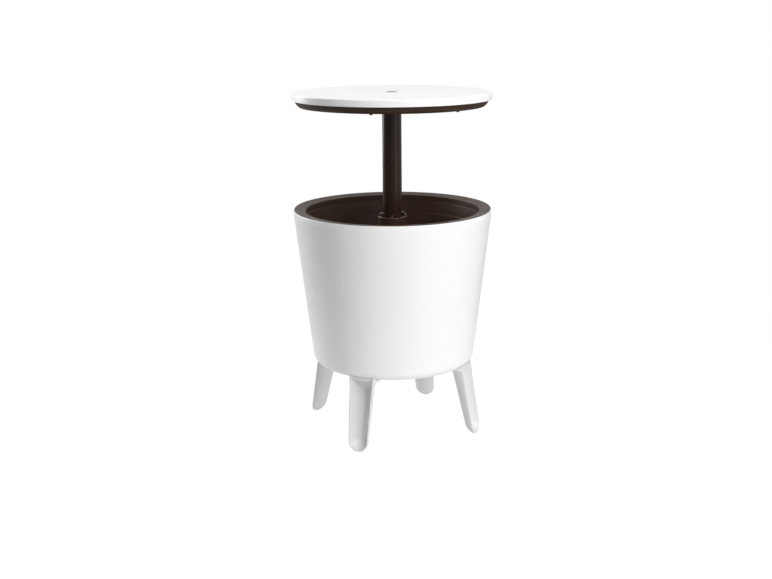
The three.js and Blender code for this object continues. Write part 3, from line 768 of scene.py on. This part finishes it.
def top_pan():
    """Brown dish under the plate, with a socket on gussets, pegs and wells for its screws."""
    outer = PLATE_HIGH.x - SKIRT_INSET - WALL - RUNNING_GAP
    inner = outer - WALL
    wall_top = PAN_HIGH.z
    foot = PAN_LOW.z
    socket = BORE_RADIUS + 6
    flat = LINER_HIGH.x - 19.5
    flat_inner = flat - 20
    skirt_foot = TOP_HEIGHT - SKIRT_DEPTH
    socket_top = TOP_HEIGHT - RECESS_DEPTH - WALL - SEAT_GAP
    body = turned("top_pan", [
        (BORE_RADIUS, foot, 0.6),
        (socket, foot, 1.2),
        (socket, PAN_MIDDLE, 3),
        (flat_inner - 5, PAN_MIDDLE, 2),
        (flat_inner, PAN_BOTTOM, 2),
        (flat + 1.5, PAN_BOTTOM, 3),
        (flat + 8, PAN_BOTTOM + 6, 6),
        (flat + 13, skirt_foot - 1.5, 2),
        (outer, skirt_foot + 1.5, 1),
        (outer, wall_top, 0.4),
        (inner, wall_top, 0.4),
        (inner, skirt_foot + 3, 1),
        (flat + 10, skirt_foot, 2),
        (flat + 5, PAN_BOTTOM + 8, 6),
        (flat, PAN_BOTTOM + WALL, 3),
        (flat_inner, PAN_BOTTOM + WALL, 2),
        (flat_inner - 5, PAN_MIDDLE + WALL, 2),
        (socket, PAN_MIDDLE + WALL, 2),
        (socket, socket_top, 0.8),
        (SHANK_HOLE, socket_top, 0.4),
        (SHANK_HOLE, socket_top - 4, 0.4),
        (BORE_RADIUS, socket_top - 4, 0.6),
    ])
    reach, sunk = 40, 1.5
    within = BORE_RADIUS + 3
    gussets = ring(8, 0, lambda: slab([
        (within, foot + 0.6),
        (socket - 0.5, foot + 0.6),
        (socket + reach, PAN_MIDDLE),
        (socket + reach, PAN_MIDDLE + sunk),
        (within, PAN_MIDDLE + sunk),
    ], 3))
    peg_circle = LINER_HIGH.x - RIM_WIDTH - 6.5
    peg_foot, peg_top = PAN_BOTTOM - 4, PAN_BOTTOM + sunk
    pegs = ring(6, math.radians(-125), lambda: moved(turned("peg", [
        (0, peg_foot, 0),
        (3.3, peg_foot, 1.4),
        (4, peg_top, 0),
        (0, peg_top, 0),
    ], 32), (peg_circle, 0, 0)))
    body = joined(joined(body, gussets), pegs)
    place = (PAN_SCREW_CIRCLE, 0, 0)
    holes = ring(PAN_SCREW_COUNT, PAN_SCREW_TURN, lambda: moved(
        rod(SCREW_HOLE, PAN_BOTTOM - OVERRUN, PAN_MIDDLE + WALL + OVERRUN), place))
    return cut(body, holes)


def centre_screw():
    """Broad-headed screw in the middle of the top, with a hexagonal recess."""
    head_radius = HEAD_HIGH.x
    seat = HEAD_HIGH.z - 6.5
    body = turned("centre_screw", [
        (0, HEAD_LOW.z, 0),
        (SHANK_RADIUS, HEAD_LOW.z, 1.2),
        (SHANK_RADIUS, seat, 0.4),
        (head_radius, seat, 0.5),
        (head_radius, HEAD_HIGH.z, 1.6),
        (0, HEAD_HIGH.z, 0),
    ], NARROW_SIDES)
    drive = rod(6, HEAD_HIGH.z - 4, HEAD_HIGH.z + OVERRUN, sides=6)
    return cut(body, [drive])


def plated_screw():
    """Pan-head screw that points up from its seat at z = 0, with a cross recess and a thread."""
    head, head_height, shank, length = 5, 2.6, SCREW_RADIUS, 18
    point, sunk = 2, 0.2
    pitch = sizes().thread_pitch / MM
    root = shank - 0.45
    sides, per_turn = 24, 8
    rows = int(length / pitch * per_turn)
    form = bmesh.new()
    rings = []
    for row in range(rows + 1):
        z = -sunk + (length - point + sunk) * row / rows
        ring_verts = []
        for i in range(sides):
            turn = math.tau * i / sides
            phase = (z / pitch - i / sides) % 1
            crest = max(0, 1 - abs(phase - 0.5) * 4)
            radius = root + (shank - root) * crest
            place = (radius * math.cos(turn), radius * math.sin(turn), z)
            ring_verts.append(form.verts.new(place))
        rings.append(ring_verts)
    tip = form.verts.new((0, 0, length))
    foot = form.verts.new((0, 0, -sunk))
    for low, high in zip(rings, rings[1:]):
        for i in range(sides):
            k = (i + 1) % sides
            form.faces.new((low[i], low[k], high[k], high[i]))
    for i in range(sides):
        k = (i + 1) % sides
        form.faces.new((rings[-1][i], rings[-1][k], tip))
        form.faces.new((rings[0][k], rings[0][i], foot))
    thread = put(form, "thread")
    body = turned("screw", [
        (0, -head_height, 0),
        (head - 1.2, -head_height, 1.6),
        (head, -0.9, 0.8),
        (head, 0, 0.3),
        (0, 0, 0),
    ], 48)
    body = joined(body, [thread])
    below, depth = -head_height - 1, 1.5 - head_height
    for x, y in ((2.5, 0.45), (0.45, 2.5)):
        body = cut(body, [block((-x, -y, below), (x, y, depth))])
    return body


# Legs


class LegForm:
    """The scooped leg along +X, from its rounded tip to above the bucket's underside."""

    # Reach of the lips, width and depth of the scoop, on the floor and under the bucket
    splay_foot, splay_top = 228.34, 198.84
    foot_width, top_width = 52, 64.5
    foot_depth, top_depth = 24, 39.5
    wall = 4.6
    vee = 1.4  # 1 makes the channel an ellipse, more makes it a V
    sole = 1
    flare = 14
    flare_height = 18
    top = BUCKET_BOTTOM + SHELL_CORNER
    round_size = foot_width / 2
    centre = round_size - sole
    flare_start = TONGUE_BOTTOM - flare_height

    @classmethod
    def at(cls, z, across, down, inset=0, flare=0):
        """A point at a height; across and down are the cosine and sine round the scoop."""
        up = z / BUCKET_BOTTOM
        lips = cls.splay_foot + (cls.splay_top - cls.splay_foot) * up
        half = (cls.foot_width + (cls.top_width - cls.foot_width) * up) / 2 - inset
        depth = cls.foot_depth + (cls.top_depth - cls.foot_depth) * up - inset
        out = Vector((-down / depth, across / half, 0)).normalized() * flare * min(1.6 * down, 1)
        return Vector((lips - depth * down, half * across, z)) + out

    @classmethod
    def flare_at(cls, z):
        """How far the leg's back and sides reach further out near the tongue."""
        rise = min(max((z - cls.flare_start) / cls.flare_height, 0), 1)
        return cls.flare * (1 - math.sqrt(1 - rise * rise))

    @classmethod
    def stations(cls):
        """The way round the lips, as (height or None, turn round the tip, side)."""
        rows, flare_rows, tip_rows = 16, 10, 40
        rise = cls.flare_start - cls.centre
        heights = [cls.centre + rise * i / rows for i in range(rows + 1)]
        heights += [cls.flare_start + cls.flare_height * math.sin(math.pi / 2 * i / flare_rows)
                    for i in range(1, flare_rows + 1)]
        heights += [cls.top - 12, cls.top]
        straight = [(z, None, 1) for z in reversed(heights)]
        tip = [(None, math.pi * i / tip_rows, 0) for i in range(1, tip_rows)]
        return straight + tip + [(z, None, -1) for z in heights]

    @classmethod
    def strip(cls, station, inset):
        """Points of one wall face from the lip to the back, at one station."""
        z, turn, side = station
        lip = sizes().leg_lip / MM
        depth = cls.foot_depth + (cls.top_depth - cls.foot_depth) * (z or 0) / BUCKET_BOTTOM
        first = math.asin(lip / depth)
        steps = 20
        points = []
        for i in range(steps + 1):
            angle = first + (math.pi / 2 - first) * i / steps
            across, down = math.cos(angle), math.sin(angle)
            if inset:
                across, down = across ** cls.vee, down ** cls.vee
            if turn is None:
                flare = 0 if inset else cls.flare_at(z)
                points.append(cls.at(z, side * across, down, inset, flare))
                continue
            size = cls.round_size - inset
            height = max(cls.centre - size * math.sin(turn) * across, 0)
            points.append(cls.at(height, math.cos(turn) * across, down, inset))
        return points


def leg_wall():
    """The leg's thin wall: outer face, rounded lip and inner face, round from side to side."""
    form = bmesh.new()
    lip_steps = 8
    strips = []
    for station in LegForm.stations():
        outer = LegForm.strip(station, 0)
        inner = LegForm.strip(station, LegForm.wall)
        middle = (outer[0] + inner[0]) / 2
        out = outer[0] - middle
        ahead = Vector((1, 0, 0)) * out.length
        bend = [middle + out * math.cos(t) + ahead * math.sin(t)
                for t in (math.pi * k / lip_steps for k in range(1, lip_steps))]
        line = outer[::-1] + bend + inner
        strips.append([form.verts.new(p) for p in line])
    for here, there in zip(strips, strips[1:]):
        for i in range(len(here) - 1):
            form.faces.new((here[i], here[i + 1], there[i + 1], there[i]))
    bmesh.ops.remove_doubles(form, verts=form.verts, dist=0.01)
    rim = [e for e in form.edges if e.is_boundary]
    bmesh.ops.contextual_create(form, geom=rim)
    return put(form, "leg_wall")


def leg_core():
    """The solid head of the leg over the scoop, which ends in a slanted face."""
    form = bmesh.new()
    steps, halvings = 40, 40
    inset = LegForm.wall / 2
    slant = math.tan(math.radians(49))
    reach = LegForm.wall

    def foot_height(point_of):
        """The height at which an upright line of the scoop's wall meets the slanted face."""
        low, high = LegForm.centre, LegForm.top
        for _ in range(halvings):
            z = (low + high) / 2
            if BUCKET_BOTTOM - (LegForm.splay_top - point_of(z).x) * slant > z:
                low = z
            else:
                high = z
        return z

    bottom, top = [], []
    for i in range(steps + 1):
        turn = math.pi * i / steps
        across, down = math.cos(turn), math.sin(turn)
        z = foot_height(lambda h: LegForm.at(h, across, down, inset))
        bottom.append(form.verts.new(LegForm.at(z, across, down, inset)))
        top.append(form.verts.new(LegForm.at(LegForm.top + reach, across, down, inset)))
    for i in range(steps):
        form.faces.new((bottom[i], bottom[i + 1], top[i + 1], top[i]))
    form.faces.new((bottom[-1], bottom[0], top[0], top[-1]))
    form.faces.new(bottom)
    form.faces.new(top)
    return put(form, "leg_core")


def leg_tongue():
    """The flat tongue that carries the leg's screws."""
    half, size = 25, 14
    outer, end = 195, 117.84
    corners = [(outer, half), (outer, -half)]
    corners += arc(end + size, size - half, size, -math.pi / 2, -math.pi)
    corners += arc(end + size, half - size, size, math.pi, math.pi / 2)
    form = pulled([(x, y, TONGUE_BOTTOM) for x, y in corners], (0, 0, SHELL_CORNER))
    return put(form, "tongue")


def bucket_tool():
    """The room that the bucket takes above the legs, with a little more at its round corner."""
    corners = wall_corners(SEAT_GAP, 0, SHELL_CORNER - 1.5)
    corners[0] = (0, corners[0][1], 0)
    return turned("bucket_room", [*corners, (0, corners[-1][1], 0)])


def leg():
    """One leg along +X: wall, head and tongue, cut to the bucket's underside."""
    body = joined(leg_wall(), [leg_core()])
    body = joined(body, [leg_tongue()])
    body = cut(body, [bucket_tool()])
    holes = [moved(rod(SCREW_HOLE, TONGUE_BOTTOM - OVERRUN, BUCKET_BOTTOM + OVERRUN),
                   (LEG_SCREW_CIRCLE, side, 0))
             for side in (-LEG_SCREW_SPREAD, LEG_SCREW_SPREAD)]
    return cut(body, holes)


# Drain


def drain_plug():
    """Bung with a flange and a flat grip, in place in the spout."""
    flange_top = SEAL_LOW.z - SEAT_GAP
    flange_foot = flange_top - 3.5
    bung = SPOUT_BORE - THREAD_GAP
    body = turned("drain_plug", [
        (0, flange_foot, 0),
        (SPOUT_RADIUS, flange_foot, 1),
        (SPOUT_RADIUS, flange_top, 0.6),
        (bung, flange_top, 0.4),
        (bung - 0.4, DRAIN_HIGH.z, 1.2),
        (0, DRAIN_HIGH.z, 0),
    ], 64)
    half, drop = SPOUT_RADIUS - 1, flange_foot - DRAIN_LOW.z
    grip_top, shoulder = flange_foot + 1.5, flange_foot - drop / 2
    grip = slab([
        (-half, grip_top),
        (-half, shoulder),
        (-half / 2, flange_foot - drop),
        (half / 2, flange_foot - drop),
        (half, shoulder),
        (half, grip_top),
    ], 6, 0.8)
    moved(grip, turn=math.pi / 2)
    return moved(joined(body, [grip]), DRAIN_PLACE)


def drain_seal():
    """Rubber ring between the plug's flange and the spout."""
    inner = SPOUT_BORE - THREAD_GAP + SEAT_GAP
    body = turned("drain_seal", [
        (inner, SEAL_LOW.z, 0.4),
        (SPOUT_RADIUS, SEAL_LOW.z, 0.9),
        (SPOUT_RADIUS, SEAL_HIGH.z, 0.9),
        (inner, SEAL_HIGH.z, 0.4),
    ], 64)
    return moved(body, DRAIN_PLACE)


# Operators


def add_pieces(rides_on, rows):
    """Makes pieces that ride on one body. A row is a node's maker, a name, a slot and a finish."""
    for make, name, slot, finish_of in rows:
        finish(make(), name, rides_on, material_of(finish_of), make.__name__)


class TABLE_OT_shell(bpy.types.Operator):
    """Make the white outer shell"""

    bl_idname = "ice_table.shell"
    bl_label = "Outer shell"
    bl_options = {"REGISTER", "UNDO"}

    def execute(self, context):
        add_pieces("bucket", [(outer_shell, "shell_skin", "white_plastic", white_polypropylene)])
        return {"FINISHED"}


class TABLE_OT_liner(bpy.types.Operator):
    """Make the brown liner with its rim ring"""

    bl_idname = "ice_table.liner"
    bl_label = "Liner"
    bl_options = {"REGISTER", "UNDO"}

    def execute(self, context):
        add_pieces("bucket", [(liner, "liner_tub", "brown_plastic", brown_polypropylene)])
        return {"FINISHED"}


class TABLE_OT_post(bpy.types.Operator):
    """Make the centre post, its collar and its nut"""

    bl_idname = "ice_table.post"
    bl_label = "Centre post"
    bl_options = {"REGISTER", "UNDO"}

    def execute(self, context):
        add_pieces("bucket", [
            (centre_post, "post_column", "brown_plastic", brown_polypropylene),
            (post_collar, "post_ring", "brown_plastic", polished_polypropylene),
            (post_nut, "post_hex_nut", "brown_plastic", brown_polypropylene),
        ])
        return {"FINISHED"}


class TABLE_OT_tube(bpy.types.Operator):
    """Make the lift tube with its lugs"""

    bl_idname = "ice_table.tube"
    bl_label = "Lift tube"
    bl_options = {"REGISTER", "UNDO"}

    def execute(self, context):
        add_pieces("table_top", [(lift_tube, "tube_shaft", "tube_plastic", tube_polypropylene)])
        return {"FINISHED"}


class TABLE_OT_top(bpy.types.Operator):
    """Make the top plate, the pan under it and the centre screw"""

    bl_idname = "ice_table.top"
    bl_label = "Table top"
    bl_options = {"REGISTER", "UNDO"}

    def execute(self, context):
        add_pieces("table_top", [
            (top_plate, "plate_disc", "white_plastic", white_polypropylene),
            (top_pan, "pan_dish", "brown_plastic", brown_polypropylene),
            (centre_screw, "centre_bolt", "dark_plastic", dark_nylon),
        ])
        return {"FINISHED"}


class TABLE_OT_legs(bpy.types.Operator):
    """Make the four scooped legs"""

    bl_idname = "ice_table.legs"
    bl_label = "Legs"
    bl_options = {"REGISTER", "UNDO"}

    def execute(self, context):
        pattern = leg()
        for i, turn in enumerate(LEG_TURNS):
            body = moved(copy_of(pattern), turn=turn)
            finish(body, f"scooped_leg_{i + 1}", "bucket",
                   material_of(leg_polypropylene_painted_shade), f"leg_{i + 1}")
        bpy.data.objects.remove(pattern)
        return {"FINISHED"}


class TABLE_OT_screws(bpy.types.Operator):
    """Make the screws of the pan and the legs"""

    bl_idname = "ice_table.screws"
    bl_label = "Screws"
    bl_options = {"REGISTER", "UNDO"}

    def execute(self, context):
        pattern = plated_screw()
        zinc = material_of(zinc_plate)
        places = []
        for i in range(PAN_SCREW_COUNT):
            turn = PAN_SCREW_TURN + math.tau * i / PAN_SCREW_COUNT
            place = (PAN_SCREW_CIRCLE, 0, PAN_MIDDLE - SEAT_GAP)
            places.append((f"pan_screw_{i + 1}", place, turn, "table_top"))
        for i, turn in enumerate(LEG_TURNS):
            for letter, side in (("a", -LEG_SCREW_SPREAD), ("b", LEG_SCREW_SPREAD)):
                place = (LEG_SCREW_CIRCLE, side, TONGUE_BOTTOM - SEAT_GAP)
                places.append((f"leg_screw_{i + 1}{letter}", place, turn, "bucket"))
        for node, place, turn, rides_on in places:
            body = moved(copy_of(pattern), place, turn)
            finish(body, "plated_" + node, rides_on, zinc, node)
        bpy.data.objects.remove(pattern)
        return {"FINISHED"}


class TABLE_OT_drain(bpy.types.Operator):
    """Make the drain plug and its seal"""

    bl_idname = "ice_table.drain"
    bl_label = "Drain"
    bl_options = {"REGISTER", "UNDO"}

    def execute(self, context):
        add_pieces("drain", [
            (drain_plug, "drain_bung", "dark_plastic", dark_nylon),
            (drain_seal, "drain_ring", "seal_rubber", seal_rubber),
        ])
        return {"FINISHED"}


class TABLE_OT_hidden(bpy.types.Operator):
    """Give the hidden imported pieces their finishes"""

    bl_idname = "ice_table.hidden"
    bl_label = "Hidden pieces"
    bl_options = {"REGISTER", "UNDO"}

    def execute(self, context):
        rows = (
            ("guide_bush", dark_nylon),
            ("tube_foot_plug", dark_nylon),
            ("post_gasket", seal_rubber),
        )
        for node, finish_of in rows:
            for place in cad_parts[node].material_slots:
                place.material = material_of(finish_of)
        return {"FINISHED"}


# Studio


def floor_material():
    """White studio sweep that keeps the table's soft shadow, and is plain white further out."""
    material, output = new_material("floor_white_sweep")
    seen = add_node(material, "ShaderNodeLightPath").outputs["Is Camera Ray"]
    # What the table sees of the floor, and what the camera sees near the table and further out
    paint = add_node(material, "ShaderNodeBsdfDiffuse", values={"Color": (0.42, 0.42, 0.42, 1)})
    faint = add_node(material, "ShaderNodeBsdfDiffuse", values={"Color": (0.25, 0.25, 0.25, 1)})
    glow = add_node(material, "ShaderNodeEmission", values={"Strength": 0.9})
    near = add_node(material, "ShaderNodeAddShader")
    material.node_tree.links.new(faint.outputs[0], near.inputs[0])
    material.node_tree.links.new(glow.outputs[0], near.inputs[1])
    place = add_node(material, "ShaderNodeTexCoord").outputs["Object"]
    reach = add_node(material, "ShaderNodeVectorMath", {"operation": "LENGTH"}, links={0: place})
    shadow_end, white_start = 0.6, 2
    fade = add_node(material, "ShaderNodeMapRange",
                    values={"From Min": shadow_end, "From Max": white_start},
                    links={"Value": reach.outputs["Value"]})
    white = add_node(material, "ShaderNodeEmission", values={"Strength": 1})
    sweep = add_node(material, "ShaderNodeMixShader", links={0: fade.outputs["Result"]})
    material.node_tree.links.new(near.outputs[0], sweep.inputs[1])
    material.node_tree.links.new(white.outputs[0], sweep.inputs[2])
    choice = add_node(material, "ShaderNodeMixShader", links={0: seen})
    material.node_tree.links.new(paint.outputs[0], choice.inputs[1])
    material.node_tree.links.new(sweep.outputs[0], choice.inputs[2])
    material.node_tree.links.new(choice.outputs[0], output.inputs["Surface"])
    return material


def studio_world():
    """Soft white room: plain light on the table, white where the camera or a gloss sees it."""
    world = bpy.data.worlds.new("studio")
    bpy.context.scene.world = world
    world.use_nodes = True
    world.node_tree.nodes.clear()
    path = add_node(world, "ShaderNodeLightPath")
    first = add_node(world, "ShaderNodeMath", {"operation": "MAXIMUM"},
                     links={0: path.outputs["Is Camera Ray"], 1: path.outputs["Is Glossy Ray"]})
    seen = add_node(world, "ShaderNodeMath", {"operation": "MAXIMUM"},
                    links={0: first.outputs[0], 1: path.outputs["Is Transmission Ray"]})
    plain = (1, 1, 1, 1)
    room = add_node(world, "ShaderNodeBackground", values={"Color": plain, "Strength": 0.075})
    white = add_node(world, "ShaderNodeBackground", values={"Color": plain, "Strength": 1})
    choice = add_node(world, "ShaderNodeMixShader", links={0: seen.outputs[0]})
    world.node_tree.links.new(room.outputs[0], choice.inputs[1])
    world.node_tree.links.new(white.outputs[0], choice.inputs[2])
    add_node(world, "ShaderNodeOutputWorld", links={"Surface": choice.outputs[0]})


# The camera stands to the left of the table's front, a little above its top.
CAMERA_PLACE = Vector((-1.0308, -2.5512, 1.0483))
CAMERA_PITCH = math.radians(14.17)
CAMERA_ROLL = math.radians(-0.42)
CAMERA_LENS = 52.17
CAMERA_SHIFT = -0.0091


def camera_axes():
    """Level directions ahead of and to the right of the camera."""
    ahead = Vector((-CAMERA_PLACE.x, -CAMERA_PLACE.y, 0)).normalized()
    return ahead, Vector((ahead.y, -ahead.x, 0))


def make_camera():
    """The camera at the photograph's angle."""
    level, right = camera_axes()
    look = level * math.cos(CAMERA_PITCH) - Vector((0, 0, 1)) * math.sin(CAMERA_PITCH)
    up = right.cross(look)
    side = right * math.cos(CAMERA_ROLL) + up * math.sin(CAMERA_ROLL)
    top = up * math.cos(CAMERA_ROLL) - right * math.sin(CAMERA_ROLL)
    data = bpy.data.cameras.new("camera")
    data.lens = CAMERA_LENS
    data.shift_x = CAMERA_SHIFT
    camera = bpy.data.objects.new("camera", data)
    turn = Matrix((side, top, -look)).transposed().to_4x4()
    camera.matrix_world = Matrix.Translation(CAMERA_PLACE) @ turn
    bpy.context.scene.collection.objects.link(camera)
    bpy.context.scene.camera = camera


def softbox(name, turn, rise, distance, size, power, aim_height=0.45, spread=180):
    """A soft lamp aimed at the table, turned to the right of the camera and raised, in degrees."""
    level, right = camera_axes()
    turn, rise = math.radians(turn), math.radians(rise)
    aim = Vector((0, 0, aim_height))
    flat = right * math.sin(turn) - level * math.cos(turn)
    data = bpy.data.lights.new(name, "AREA")
    data.shape = "RECTANGLE"
    data.size, data.size_y = size
    data.energy = power
    data.spread = math.radians(spread)
    lamp = bpy.data.objects.new(name, data)
    lamp.location = aim + distance * (flat * math.cos(rise) + Vector((0, 0, math.sin(rise))))
    lamp.rotation_mode = "QUATERNION"
    lamp.rotation_quaternion = (aim - lamp.location).to_track_quat("-Z", "Y")
    bpy.context.scene.collection.objects.link(lamp)


def floor_glow():
    """A lamp that lies on the floor and shines up, as a lit white floor does near the table."""
    data = bpy.data.lights.new("floor_glow", "AREA")
    data.shape = "DISK"
    data.size = 1.8
    data.energy = 3.6
    lamp = bpy.data.objects.new("floor_glow", data)
    lamp.rotation_euler.x = math.pi
    lamp.visible_camera = False
    bpy.context.scene.collection.objects.link(lamp)


class TABLE_OT_stage(bpy.types.Operator):
    """Make the floor, the lamps, the room and the camera"""

    bl_idname = "ice_table.stage"
    bl_label = "Studio"
    bl_options = {"REGISTER", "UNDO"}

    def execute(self, context):
        form = bmesh.new()
        bmesh.ops.create_grid(form, x_segments=1, y_segments=1, size=sizes().floor_size / 2)
        floor = put(form, "floor")
        floor.location.z = -0.3 * MM  # just clear of the soles
        floor.data.materials.append(floor_material())
        studio_world()
        make_camera()
        # Name, turn to the camera's right, rise, distance, size, power, aim height and spread
        lamps = (
            ("key", 28, 32, 2.5, (1.5, 2.2), 22, 0.75, 120),
            ("low_strip", 52, 0, 2.5, (1.3, 0.8), 13, 0.4),
            ("front_fill", 10, 15, 2.6, (1.6, 1.6), 8),
            ("right_strip", 100, 15, 2.6, (0.8, 2.0), 9),
            ("left_strip", -122, 20, 2.6, (0.6, 2.0), 56),
            ("overhead", 20, 80, 2.6, (1.6, 1.6), 19),
        )
        for lamp in lamps:
            softbox(*lamp)
        floor_glow()
        bpy.context.scene.view_settings.view_transform = "Standard"
        return {"FINISHED"}


class TABLE_PT_panel(bpy.types.Panel):
    """Buttons and settings for the table"""

    bl_label = "Ice bucket table"
    bl_space_type = "VIEW_3D"
    bl_region_type = "UI"
    bl_category = "Ice table"

    def draw(self, context):
        for group in (context.scene.table_sizes, context.scene.table_colours):
            for name in group.__annotations__:
                self.layout.prop(group, name)
        for operator in OPERATORS:
            self.layout.operator(operator.bl_idname)


OPERATORS = (TABLE_OT_shell, TABLE_OT_liner, TABLE_OT_post, TABLE_OT_tube, TABLE_OT_top,
             TABLE_OT_legs, TABLE_OT_screws, TABLE_OT_drain, TABLE_OT_hidden, TABLE_OT_stage)
CLASSES = (TableSizes, TableColours, *OPERATORS, TABLE_PT_panel)


def register():
    """Registers the classes and hangs the settings on the scene."""
    for item in CLASSES:
        bpy.utils.register_class(item)
    bpy.types.Scene.table_sizes = bpy.props.PointerProperty(type=TableSizes)
    bpy.types.Scene.table_colours = bpy.props.PointerProperty(type=TableColours)


def unregister():
    """Takes the settings and the classes away again."""
    del bpy.types.Scene.table_colours
    del bpy.types.Scene.table_sizes
    for item in reversed(CLASSES):
        bpy.utils.unregister_class(item)


def main():
    register()
    bpy.ops.ice_table.shell()
    bpy.ops.ice_table.liner()
    bpy.ops.ice_table.post()
    bpy.ops.ice_table.tube()
    bpy.ops.ice_table.top()
    bpy.ops.ice_table.legs()
    bpy.ops.ice_table.screws()
    bpy.ops.ice_table.drain()
    bpy.ops.ice_table.hidden()
    bpy.ops.ice_table.stage()


if __name__ == "__main__":
    main()
